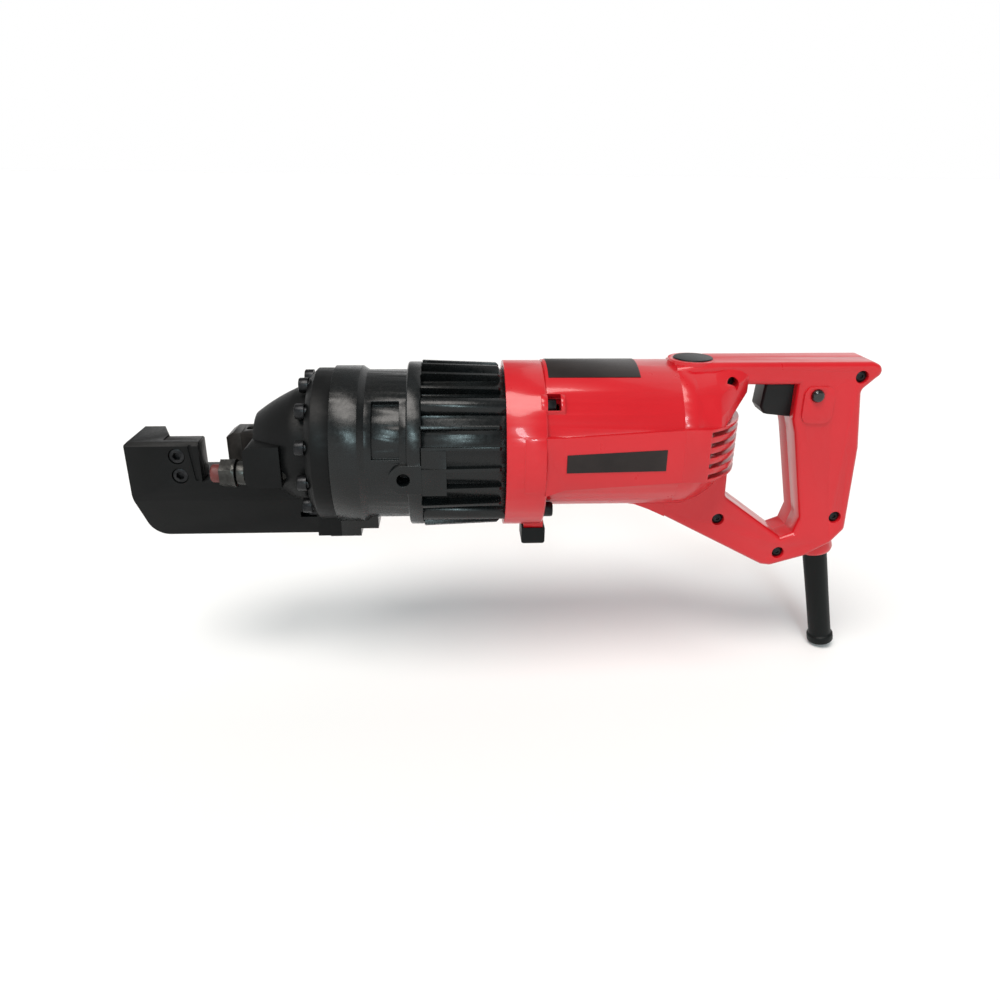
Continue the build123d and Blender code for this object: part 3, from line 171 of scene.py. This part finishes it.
def red_nylon():
    """Glass-filled nylon moulded in a polished tool: glossy red with a faint flow unevenness."""
    s = bpy.context.scene.rebar_cutter_finishes
    return finish("moulded_red_nylon", s.housing_colour, "ac0f18", 0.30, grain_mm=14.0,
                  bump_mm=0.02, rough_swing=0.03, mottle_mm=60.0, mottle=0.3, coat=0.3,
                  coat_roughness=0.08, specular=0.35)


def black_nylon():
    """Grained black nylon, as on triggers and caps."""
    return finish("grained_black_nylon", "0e0f10", "141516", 0.42, grain_mm=0.7, bump_mm=0.03,
                  rough_swing=0.06, specular=0.25)


def gloss_acetal():
    """Polished black acetal: a small, sharp highlight."""
    return finish("polished_black_acetal", "090909", "0f0f10", 0.16, grain_mm=4.0,
                  bump_mm=0.01, rough_swing=0.03, coat=0.4)


def vinyl_label():
    """A bare printed-vinyl plate, satin over dark grey."""
    return finish("satin_vinyl_plate", "1c1615", "2a2321", 0.38, grain_mm=1.0, bump_mm=0.01,
                  rough_swing=0.05, mottle_mm=35.0, mottle=0.8, specular=0.25)


def sleeve_rubber():
    """Moulded PVC rubber: dull, very slightly greenish black."""
    return finish("moulded_pvc_rubber", "090c0c", "111515", 0.46, grain_mm=0.9, bump_mm=0.03,
                  rough_swing=0.08, mottle_mm=30.0, mottle=0.7, specular=0.16)


def nitrile():
    """Nitrile sealing rubber."""
    return finish("nitrile_rubber", "161614", "1e1e1b", 0.55)


def black_oxide():
    """Oiled black-oxide screw steel: dark metal, finely worn."""
    return finish("black_oxide_steel", "1d1e20", "3a3a3b", 0.36, metallic=0.85, grain_mm=1.1,
                  bump_mm=0.02, rough_swing=0.1, mottle_mm=4.0, mottle=0.6)


def zinc():
    """Zinc-plated steel gone grey: cloudy, half-bright."""
    return finish("dulled_zinc_plate", "454543", "2c2b2a", 0.38, metallic=0.9, grain_mm=1.5,
                  bump_mm=0.02, rough_swing=0.12, mottle_mm=5.0, mottle=0.8)


def tool_steel():
    """Hardened cutter steel, ground then oiled: grinding lines along Z."""
    return finish("ground_tool_steel", "33302e", "1f1d1c", 0.4, metallic=0.85, grain_mm=0.8,
                  bump_mm=0.015, rough_swing=0.12, mottle_mm=9.0, mottle=0.8,
                  stretch=(1.0, 1.0, 0.08))


def bright_steel():
    """Ground and polished shaft steel: fine lines round the axis."""
    return finish("ground_shaft_steel", "9a9a98", "7d7d7b", 0.24, metallic=1.0, grain_mm=0.6,
                  bump_mm=0.006, rough_swing=0.06, mottle_mm=12.0, mottle=0.5,
                  stretch=(1.0, 0.1, 0.1))


def bronze():
    """Turned bearing bronze."""
    return finish("turned_bronze", "a97a3a", "8c6230", 0.3, metallic=1.0, grain_mm=0.8)


def copper():
    """Enamelled copper winding wire, coppery orange under varnish."""
    return finish("enamelled_copper", "a8562a", "7d3c1c", 0.3, metallic=0.8, grain_mm=0.7,
                  bump_mm=0.12, stretch=(0.1, 1.0, 1.0))


def lamination():
    """Stacked electrical sheet: fine lines across the axis."""
    return finish("stacked_electrical_sheet", "6a6c6e", "4f5052", 0.42, metallic=0.9,
                  grain_mm=0.9, bump_mm=0.05, stretch=(1.0, 0.05, 0.05))


def die_cast():
    """Die-cast aluminium, matt silver."""
    return finish("die_cast_aluminium", "a2a4a6", "8b8d90", 0.42, metallic=1.0, grain_mm=1.2,
                  bump_mm=0.03)


def carbon():
    """Pressed carbon."""
    return finish("pressed_carbon", "1c1c1d", "2a2a2b", 0.6)


def fibre_tip():
    """Hard red-brown fibre, the facing that the bar leans on."""
    return finish("vulcanised_fibre", "5e1f1b", "3c1512", 0.5, grain_mm=1.2, bump_mm=0.03)


SLOT_FINISHES = {
    "black_paint": cast_enamel, "tool_steel": tool_steel, "black_screws": black_oxide,
    "zinc_steel": zinc, "ground_steel": bright_steel, "red_plastic": red_nylon,
    "black_plastic": black_nylon, "gloss_black": gloss_acetal, "rubber": sleeve_rubber,
    "bronze": bronze, "copper_wire": copper, "brass": bronze, "carbon": carbon,
    "lamination": lamination, "aluminium": die_cast, "spring_steel": bright_steel,
    "gasket": nitrile, "wire_cover": red_nylon,
}


# ---------------------------------------------------------------- pieces
def dress(obj, material):
    """Gives a piece one material."""
    obj.data.materials.clear()
    obj.data.materials.append(material)


def joined_copy(cad_name):
    """A mesh copy of a CAD node with its doubles merged and its flat faces made whole."""
    mesh = frame["nodes"][cad_name].data.copy()
    work = bmesh.new()
    work.from_mesh(mesh)
    bmesh.ops.remove_doubles(work, verts=work.verts, dist=0.002 * MM)
    bmesh.ops.dissolve_degenerate(work, edges=work.edges, dist=0.001 * MM)
    bmesh.ops.dissolve_limit(work, angle_limit=math.radians(0.6), verts=work.verts,
                             edges=work.edges)
    work.to_mesh(mesh)
    work.free()
    if "sharp_face" in mesh.attributes:
        mesh.attributes.remove(mesh.attributes["sharp_face"])
    return mesh


def settle(obj, body, slot, *replaced):
    """Ties a finished piece to its body and hides the CAD nodes it stands for; slot is not used.
    """
    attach(obj, body)
    if replaced:
        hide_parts(*replaced)


def applied(obj):
    """Turns a piece's modifiers into plain mesh."""
    view = bpy.context.evaluated_depsgraph_get()
    view.update()
    mesh = bpy.data.meshes.new_from_object(obj.evaluated_get(view), preserve_all_data_layers=True,
                                           depsgraph=view)
    obj.modifiers.clear()
    obj.data = mesh
    return obj


def softened(name, cad_name, material, edge_mm, smooth=30.0, segments=2):
    """A copy of a CAD node with every sharp edge rounded, standing for that node."""
    mesh = joined_copy(cad_name)
    obj = bpy.data.objects.new(name, mesh)
    bpy.context.scene.collection.objects.link(obj)
    bevel = obj.modifiers.new("edge", "BEVEL")
    bevel.width = edge_mm * MM
    bevel.segments = segments
    bevel.limit_method = "ANGLE"
    bevel.angle_limit = math.radians(smooth)
    bevel.harden_normals = True
    bevel.use_clamp_overlap = True
    applied(obj)
    for face in obj.data.polygons:
        face.use_smooth = True
    dress(obj, material)
    settle(obj, BODY_OF[cad_name], SLOT_OF[cad_name], cad_name)
    return obj


def islands(cad_name):
    """(lowest corner, highest corner) of each separate solid of a CAD node."""
    work = bmesh.new()
    work.from_mesh(frame["nodes"][cad_name].data)
    bmesh.ops.remove_doubles(work, verts=work.verts, dist=0.002 * MM)
    left, boxes = set(work.verts), []
    while left:
        stack, group = [left.pop()], []
        while stack:
            corner = stack.pop()
            group.append(corner.co.copy())
            for edge in corner.link_edges:
                other = edge.other_vert(corner)
                if other in left:
                    left.discard(other)
                    stack.append(other)
        boxes.append((Vector([min(c[i] for c in group) for i in range(3)]),
                      Vector([max(c[i] for c in group) for i in range(3)])))
    work.free()
    return sorted(boxes, key=lambda b: tuple(b[0]))


def lathe(name, points, sides=48, recess=None):
    """A mesh turned about X from (x, radius) points in millimetres, closed at both ends.

    A negative radius is the corner radius of a recess with that many flats.
    """
    work = bmesh.new()
    rings = []
    for x, r in points:
        ring = []
        for i in range(sides):
            turn = 2 * math.pi * i / sides
            radius = r
            if recess and r < 0:
                half = math.pi / recess
                radius = -r * math.cos(half) / math.cos((turn % (2 * half)) - half)
            ring.append(work.verts.new((x * MM, abs(radius) * MM * math.cos(turn),
                                        abs(radius) * MM * math.sin(turn))))
        rings.append(ring)
    for a, b in zip(rings, rings[1:]):
        for i in range(sides):
            work.faces.new((a[i], b[i], b[(i + 1) % sides], a[(i + 1) % sides]))
    work.faces.new(rings[0])
    work.faces.new(rings[-1])
    bmesh.ops.recalc_face_normals(work, faces=work.faces)
    mesh = bpy.data.meshes.new(name)
    work.to_mesh(mesh)
    work.free()
    for face in mesh.polygons:
        face.use_smooth = True
    mesh.set_sharp_from_angle(angle=math.radians(32))
    obj = bpy.data.objects.new(name, mesh)
    bpy.context.scene.collection.objects.link(obj)
    return obj


def interface(tree, **sockets):
    """Names a tree's inputs, each (socket type, default), and adds its geometry output."""
    made = {}
    for name, (kind, default) in sockets.items():
        made[name] = tree.interface.new_socket(name.replace("_", " "), in_out="INPUT",
                                               socket_type=kind)
        if default is not None:
            made[name].default_value = default
    tree.interface.new_socket("Geometry", in_out="OUTPUT", socket_type="NodeSocketGeometry")
    return made


def set_inputs(modifier, tree, **values):
    """Sets a modifier's inputs by their sockets' identifiers."""
    for item in tree.interface.items_tree:
        key = item.name.replace(" ", "_")
        if item.in_out == "INPUT" and key in values:
            modifier[item.identifier] = values[key]


def planted_tree():
    """Geometry Nodes: a pattern object planted at every point of the host mesh."""
    if "planted_pieces" in bpy.data.node_groups:
        return bpy.data.node_groups["planted_pieces"]
    tree = bpy.data.node_groups.new("planted_pieces", "GeometryNodeTree")
    tree.interface.new_socket("Points", in_out="INPUT", socket_type="NodeSocketGeometry")
    interface(tree, Pattern=("NodeSocketObject", None), Turn_step=("NodeSocketFloat", 0.7),
              Axis=("NodeSocketVector", (1.0, 0.0, 0.0)), Finish=("NodeSocketMaterial", None))
    given = node(tree, "NodeGroupInput").outputs
    pattern = node(tree, "GeometryNodeObjectInfo", Object=given["Pattern"]).outputs["Geometry"]
    number = node(tree, "GeometryNodeInputIndex").outputs["Index"]
    angle = node(tree, "ShaderNodeMath", {"operation": "MULTIPLY"}, _0=number,
                 _1=given["Turn step"]).outputs["Value"]
    turned = node(tree, "FunctionNodeAxisAngleToRotation", Axis=given["Axis"],
                  Angle=angle).outputs["Rotation"]
    cloud = node(tree, "GeometryNodeMeshToPoints", Mesh=given["Points"]).outputs["Points"]
    placed = node(tree, "GeometryNodeInstanceOnPoints", Points=cloud, Instance=pattern,
                  Rotation=turned).outputs["Instances"]
    real = node(tree, "GeometryNodeRealizeInstances", Geometry=placed).outputs["Geometry"]
    coloured = node(tree, "GeometryNodeSetMaterial", Geometry=real,
                    Material=given["Finish"]).outputs["Geometry"]
    node(tree, "NodeGroupOutput", Geometry=coloured)
    return tree


def plant(name, cad_name, pattern, places, axis, material):
    """Plants a pattern at places with Geometry Nodes and lets the result stand for a node."""
    host = bpy.data.meshes.new(name)
    host.from_pydata([tuple(p) for p in places], [], [])
    obj = bpy.data.objects.new(name, host)
    bpy.context.scene.collection.objects.link(obj)
    tree = planted_tree()
    modifier = obj.modifiers.new("planted", "NODES")
    modifier.node_group = tree
    set_inputs(modifier, tree, Pattern=pattern, Axis=axis, Finish=material)
    applied(obj)
    bpy.data.objects.remove(pattern)
    settle(obj, BODY_OF[cad_name], SLOT_OF[cad_name], cad_name)
    return obj


def helix_tree():
    """Geometry Nodes: a round or three-sided section swept along a helix on X."""
    if "helix" in bpy.data.node_groups:
        return bpy.data.node_groups["helix"]
    tree = bpy.data.node_groups.new("helix", "GeometryNodeTree")
    interface(tree, Start=("NodeSocketFloat", 0.0), Length=("NodeSocketFloat", 0.01),
              Radius=("NodeSocketFloat", 0.004), Pitch=("NodeSocketFloat", 0.0015),
              Ridge=("NodeSocketFloat", 0.0008), Sides=("NodeSocketInt", 3),
              Finish=("NodeSocketMaterial", None))
    given = node(tree, "NodeGroupInput").outputs
    turns = node(tree, "ShaderNodeMath", {"operation": "DIVIDE"}, _0=given["Length"],
                 _1=given["Pitch"]).outputs["Value"]
    helix = node(tree, "GeometryNodeCurveSpiral", Resolution=32, Rotations=turns,
                 Start_Radius=given["Radius"], End_Radius=given["Radius"],
                 Height=given["Length"]).outputs["Curve"]
    section = node(tree, "GeometryNodeCurvePrimitiveCircle", {"mode": "RADIUS"},
                   Resolution=given["Sides"], Radius=given["Ridge"]).outputs["Curve"]
    ridge = node(tree, "GeometryNodeCurveToMesh", Curve=helix, Profile_Curve=section,
                 Fill_Caps=True).outputs["Mesh"]
    start = node(tree, "ShaderNodeCombineXYZ", X=given["Start"]).outputs["Vector"]
    laid = node(tree, "GeometryNodeTransform", Geometry=ridge, Translation=start,
                Rotation=(0.0, math.pi / 2, 0.0)).outputs["Geometry"]
    real = node(tree, "GeometryNodeRealizeInstances", Geometry=laid).outputs["Geometry"]
    coloured = node(tree, "GeometryNodeSetMaterial", Geometry=real,
                    Material=given["Finish"]).outputs["Geometry"]
    node(tree, "NodeGroupOutput", Geometry=coloured)
    return tree


def wound(name, start, length, middle, material, **sizes):
    """A helix from start along X about the line through middle: a thread or a spring."""
    obj = bpy.data.objects.new(name, bpy.data.meshes.new(name))
    bpy.context.scene.collection.objects.link(obj)
    tree = helix_tree()
    modifier = obj.modifiers.new("helix", "NODES")
    modifier.node_group = tree
    set_inputs(modifier, tree, Start=start, Length=length, Finish=material, **sizes)
    applied(obj)
    obj.data.transform(Matrix.Translation((0.0, middle.y, middle.z)))
    return obj


def cap_screw(name, head_r, head_h, shank_r, shank_l, socket_r, socket_depth):
    """A socket cap screw along X: its head's face at 0 and the shank running to +X."""
    return lathe(name, [
        (socket_depth, 0.02), (socket_depth, -socket_r * 0.999), (0.35, -socket_r),
        (0.0, -socket_r * 1.08), (0.0, head_r - 0.9), (0.25, head_r - 0.35),
        (0.9, head_r), (head_h, head_r), (head_h, shank_r), (head_h + shank_l, shank_r),
        (head_h + shank_l + 0.3, 0.02)], sides=48, recess=6)


def turned_mesh(obj, matrix):
    """Turns a pattern's own mesh."""
    obj.data.transform(matrix)
    return obj


SHANK_END = 0.4         # millimetres kept for a shank's bevelled end and a little air
# name, node, axis, end with the heads, head height, shank radius, socket radius, socket depth
SOCKET_SCREWS = (
    ("flange_screws", "head_bolts", 0, 0, 6.0, 3.0, 2.8, 3.0),
    ("long_screws", "housing_screws", 0, 1, 6.0, 3.0, 2.8, 3.0),
    ("blade_screws", "fixed_cutter_screws", 1, 0, 4.0, 3.0, 2.7, 3.2),
)
FIN_EDGE = 0.6
TURNED_EDGE = 0.25
TIP_EDGE = 0.3
PLUG_EDGE = 0.4
PLATE_EDGE = 0.12
LABEL_EDGE = 0.1


# ---------------------------------------------------------------- settings
class RebarCutterFinishes(bpy.types.PropertyGroup):
    """Colours and sizes of the tool that a user may change."""

    housing_colour: bpy.props.StringProperty(
        name="Housing colour", description="sRGB hex of the moulded housing", default="c1151f")
    casting_colour: bpy.props.StringProperty(
        name="Casting colour", description="sRGB hex of the enamelled castings",
        default="0b0c0c")
    casting_edge: bpy.props.FloatProperty(
        name="Casting edge", description="Rounding of the castings' edges, in millimetres",
        default=0.9, min=0.05, max=2.0)
    moulded_edge: bpy.props.FloatProperty(
        name="Moulded edge", description="Rounding of the mouldings' edges, in millimetres",
        default=0.7, min=0.05, max=2.0)
    fitting_edge: bpy.props.FloatProperty(
        name="Fitting edge", description="Rounding of small fittings' edges, in millimetres",
        default=0.35, min=0.05, max=1.0)


class RebarCutterStage(bpy.types.PropertyGroup):
    """The studio round the tool."""

    floor_colour: bpy.props.StringProperty(
        name="Floor colour", description="sRGB hex of the floor", default="f0f0f0")
    floor_drop: bpy.props.FloatProperty(
        name="Floor drop", description="Gap between the tool's lowest point and the floor",
        default=0.002, min=0.0, subtype="DISTANCE", unit="LENGTH")
    lens: bpy.props.FloatProperty(
        name="Lens", description="Focal length of the camera", default=28.71, subtype="DISTANCE",
        unit="CAMERA")
    key_strength: bpy.props.FloatProperty(
        name="Key light", description="Strength of the wide overhead light", default=2.5,
        min=0.0)
    ceiling: bpy.props.FloatProperty(
        name="Ceiling", description="Brightness of the room above the tool", default=0.3,
        min=0.0)


# ---------------------------------------------------------------- operators
class REBAR_OT_inner_works(bpy.types.Operator):
    """Gives every node of the frame its procedural finish and winds the two springs"""

    bl_idname = "rebar_cutter.inner_works"
    bl_label = "Inner works"

    def execute(self, context):
        for name, obj in frame["nodes"].items():
            dress(obj, SLOT_FINISHES[SLOT_OF[name]]())
        self.spring("return_helix", "return_spring", "ram_stroke", 0)
        self.spring("trigger_helix", "trigger_spring", "trigger_press", 1)
        return {"FINISHED"}

    def spring(self, name, cad_name, joint, held_end):
        """Winds a spring where the frame has its turns.

        held_end is not used.
        """
        turns = islands(cad_name)
        low, high = turns[0][0], turns[-1][1]
        wire = (turns[0][1].x - turns[0][0].x) / 2
        coil = wound(name, low.x + wire, high.x - low.x - 2 * wire, (low + high) / 2,
                     bright_steel(), Radius=(high.y - low.y) / 2 - wire,
                     Pitch=turns[1][0].x - turns[0][0].x, Ridge=wire, Sides=12)
        settle(coil, BODY_OF[cad_name], SLOT_OF[cad_name], cad_name)
        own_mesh(coil)


class REBAR_OT_castings(bpy.types.Operator):
    """Softens the forged head, the cylinder and the finned case"""

    bl_idname = "rebar_cutter.castings"
    bl_label = "Castings"

    def execute(self, context):
        edge = context.scene.rebar_cutter_finishes.casting_edge
        softened("forged_head", "cutter_head", machined_enamel(), edge)
        softened("cylinder_casting", "cylinder", cast_enamel(), edge)
        softened("finned_case", "pump_case", cast_enamel(), FIN_EDGE)
        return {"FINISHED"}


class REBAR_OT_cutting_gear(bpy.types.Operator):
    """Softens the two cutters, the ram's front and the stopper"""

    bl_idname = "rebar_cutter.cutting_gear"
    bl_label = "Cutting gear"

    def execute(self, context):
        edge = context.scene.rebar_cutter_finishes.fitting_edge
        softened("fixed_blade", "fixed_cutter", tool_steel(), edge)
        softened("moving_blade", "moving_cutter", tool_steel(), edge)
        softened("ram_rod", "ram", tool_steel(), edge)
        self.threaded(softened("stopper_stud", "stopper_bolt", zinc(), TURNED_EDGE))
        softened("stopper_ring", "stopper_nut", zinc(), TURNED_EDGE)
        softened("stopper_pad", "stopper_tip", fibre_tip(), TIP_EDGE)
        softened("oil_plug", "filler_plug", zinc(), PLUG_EDGE)
        return {"FINISHED"}

    def threaded(self, stud, reach_mm=8.0, pitch_mm=1.5, ridge_mm=0.62):
        """Turns the stud's bare rear end down to its root and winds a thread's ridge on it."""
        low, high = islands("stopper_bolt")[0]
        middle = (low + high) / 2
        start, root = high.x - reach_mm * MM, 4.4 * MM
        for corner in stud.data.vertices:
            y, z = corner.co.y - middle.y, corner.co.z - middle.z
            if corner.co.x > start - 0.2 * MM and math.hypot(y, z) > root:
                shrink = root / math.hypot(y, z)
                corner.co.y, corner.co.z = middle.y + y * shrink, middle.z + z * shrink
        thread = wound("stopper_thread", start, (reach_mm - 0.6) * MM, middle, zinc(), Radius=root,
                       Pitch=pitch_mm * MM, Ridge=ridge_mm * MM, Sides=3)
        settle(thread, BODY_OF["stopper_bolt"], SLOT_OF["stopper_bolt"])


class REBAR_OT_housing(bpy.types.Operator):
    """Softens the moulded motor housing and the two handle shells"""

    bl_idname = "rebar_cutter.housing"
    bl_label = "Housing"

    def execute(self, context):
        edge = context.scene.rebar_cutter_finishes.moulded_edge
        softened("motor_casing", "motor_housing", red_nylon(), edge)
        softened("near_handle_half", "left_handle_shell", red_nylon(), edge)
        softened("far_handle_half", "right_handle_shell", red_nylon(), edge)
        return {"FINISHED"}


class REBAR_OT_fittings(bpy.types.Operator):
    """Softens the trigger, button, caps, plates, foot and cord sleeve"""

    bl_idname = "rebar_cutter.fittings"
    bl_label = "Fittings"

    def execute(self, context):
        edge = context.scene.rebar_cutter_finishes.fitting_edge
        softened("switch_trigger", "trigger", black_nylon(), edge * 2)
        softened("lock_knob", "lock_button", gloss_acetal(), edge)
        softened("cap_disc", "top_cap", black_nylon(), edge)
        softened("side_plates", "nameplates", vinyl_label(), PLATE_EDGE)
        softened("upper_plate", "top_label", vinyl_label(), LABEL_EDGE)
        softened("rubber_foot", "base_foot", sleeve_rubber(), edge * 2)
        softened("cord_sleeve", "cord_guard", sleeve_rubber(), edge)
        return {"FINISHED"}


class REBAR_OT_screws(bpy.types.Operator):
    """Grows the socket and cross-head screws at the places where the frame has them"""

    bl_idname = "rebar_cutter.screws"
    bl_label = "Screws"

    def execute(self, context):
        for row in SOCKET_SCREWS:
            self.socket_screws(*row)
        size, places = self.heads("handle_screws", 1, 0)
        screw = self.pan_screw(size.x / MM / 2, size.y / MM)
        plant("shell_screws", "handle_screws", screw, places, (0.0, 1.0, 0.0), black_oxide())
        return {"FINISHED"}

    def heads(self, cad_name, along, face):
        """Size of one screw of a node, and the middle of each head's face on its axis."""
        boxes = islands(cad_name)
        places = []
        for box in boxes:
            place = (box[0] + box[1]) / 2
            place[along] = box[face][along]
            places.append(place)
        return boxes[0][1] - boxes[0][0], places

    def socket_screws(self, name, cad_name, along, face, head_h, shank_r, socket_r, depth):
        """Plants a node's socket screws; along is their axis, face is the end with the heads."""
        size, places = self.heads(cad_name, along, face)
        length = size[along] / MM - head_h - SHANK_END
        screw = cap_screw("pattern", size[1 - along] / MM / 2, head_h, shank_r, length,
                          socket_r, depth)
        turned_mesh(screw, Matrix.Rotation(math.pi / 2 * along + math.pi * face, 4, "Z"))
        plant(name, cad_name, screw, places, (float(along == 0), float(along == 1), 0.0),
              black_oxide())

    def pan_screw(self, head_r, length):
        """A cross-recess pan-head screw along Y, its crown at 0."""
        crown = [(0.9, 0.02), (0.9, 0.9), (0.0, 1.3), (0.02, head_r * 0.45),
                 (0.35, head_r * 0.75), (0.9, head_r * 0.95), (1.5, head_r), (3.0, head_r),
                 (3.0, 2.0), (length - 1.0, 2.0), (length - 0.2, 0.02)]
        return turned_mesh(lathe("pattern", crown, sides=32), Matrix.Rotation(math.pi / 2, 4, "Z"))


FLOOR_REACH = 60.0
CEILING_START, CEILING_END = 0.2, 0.45      # heights of the sky direction where it dims
CAMERA_TURNS = (-3.2, 22.45, 0.6)           # yaw, pitch down and roll, in degrees
CAMERA_PLACE = (0.1701, -0.5244, 0.1739)


class REBAR_OT_stage(bpy.types.Operator):
    """Sets the pale floor, the soft lights and the camera"""

    bl_idname = "rebar_cutter.stage"
    bl_label = "Stage"

    def execute(self, context):
        s = context.scene.rebar_cutter_stage
        low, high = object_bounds()
        mesh = bpy.data.meshes.new("floor")
        height = low.z - s.floor_drop
        corners = [(x * FLOOR_REACH, y * FLOOR_REACH, height)
                   for x, y in ((-1, -1), (1, -1), (1, 1), (-1, 1))]
        mesh.from_pydata(corners, [], [(0, 1, 2, 3)])
        floor = bpy.data.objects.new("floor", mesh)
        context.scene.collection.objects.link(floor)
        paper = finish("studio_paper", s.floor_colour, s.floor_colour, 0.8, grain_mm=5.0,
                       bump_mm=0.01, specular=0.1)
        dress(floor, paper)
        floor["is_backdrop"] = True

        # white round the horizon, dimmer overhead
        world = bpy.data.worlds.new("studio")
        world.use_nodes = True
        tree = world.node_tree
        way = node(tree, "ShaderNodeTexCoord").outputs["Generated"]
        height = node(tree, "ShaderNodeSeparateXYZ", Vector=way).outputs["Z"]
        bright = node(tree, "ShaderNodeMapRange", Value=height, _1=CEILING_START,
                      _2=CEILING_END, _3=1.0, _4=s.ceiling).outputs["Result"]
        tree.links.new(bright, tree.nodes["Background"].inputs["Strength"])
        tree.nodes["Background"].inputs["Color"].default_value = linear("ffffff")
        context.scene.world = world

        self.lamp("key", (-0.28, -0.42, 1.0), 36.0, s.key_strength, "fffaf5")
        self.lamp("window", (-0.12, -1.0, 0.52), 11.0, 0.8, "d2f0f5")
        self.lamp("rear_fill", (0.7, 0.8, 0.9), 60.0, 0.4, "ffffff")

        camera = bpy.data.objects.new("camera", bpy.data.cameras.new("camera"))
        context.scene.collection.objects.link(camera)
        camera.data.lens = s.lens
        camera.data.sensor_width = 36.0
        camera.data.clip_start = 0.01
        yaw, pitch, roll = (math.radians(turn) for turn in CAMERA_TURNS)
        camera.rotation_euler = (Matrix.Rotation(yaw, 3, "Z")
                                 @ Matrix.Rotation(math.pi / 2 - pitch, 3, "X")
                                 @ Matrix.Rotation(roll, 3, "Z")).to_euler()
        camera.location = CAMERA_PLACE
        context.scene.camera = camera
        context.scene.view_settings.view_transform = "Standard"
        return {"FINISHED"}

    def lamp(self, name, side, spread, strength, colour):
        """A far light on the given side of the tool, spread degrees wide."""
        data = bpy.data.lights.new(name, "SUN")
        data.angle, data.energy = math.radians(spread), strength
        data.color = linear(colour)[:3]
        lamp = bpy.data.objects.new(name, data)
        lamp.rotation_euler = Vector(side).to_track_quat("Z", "Y").to_euler()
        bpy.context.scene.collection.objects.link(lamp)


OPERATORS = (REBAR_OT_inner_works, REBAR_OT_castings, REBAR_OT_cutting_gear, REBAR_OT_housing,
             REBAR_OT_fittings, REBAR_OT_screws, REBAR_OT_stage)


class REBAR_PT_panel(bpy.types.Panel):
    """Lists the tool's settings and the operators that make its pieces"""

    bl_idname = "REBAR_PT_panel"
    bl_label = "Rebar cutter"
    bl_space_type = "VIEW_3D"
    bl_region_type = "UI"
    bl_category = "Rebar cutter"

    def draw(self, context):
        for group in (context.scene.rebar_cutter_finishes, context.scene.rebar_cutter_stage):
            for name in group.__annotations__:
                self.layout.prop(group, name)
        for operator in OPERATORS:
            self.layout.operator(operator.bl_idname)


CLASSES = (RebarCutterFinishes, RebarCutterStage, *OPERATORS, REBAR_PT_panel)


def register():
    for item in CLASSES:
        bpy.utils.register_class(item)
    bpy.types.Scene.rebar_cutter_finishes = bpy.props.PointerProperty(type=RebarCutterFinishes)
    bpy.types.Scene.rebar_cutter_stage = bpy.props.PointerProperty(type=RebarCutterStage)


def unregister():
    del bpy.types.Scene.rebar_cutter_stage
    del bpy.types.Scene.rebar_cutter_finishes
    for item in reversed(CLASSES):
        bpy.utils.unregister_class(item)


def main():
    register()
    for operator in OPERATORS:
        group, name = operator.bl_idname.split(".")
        getattr(getattr(bpy.ops, group), name)()


if __name__ == "__main__":
    main()
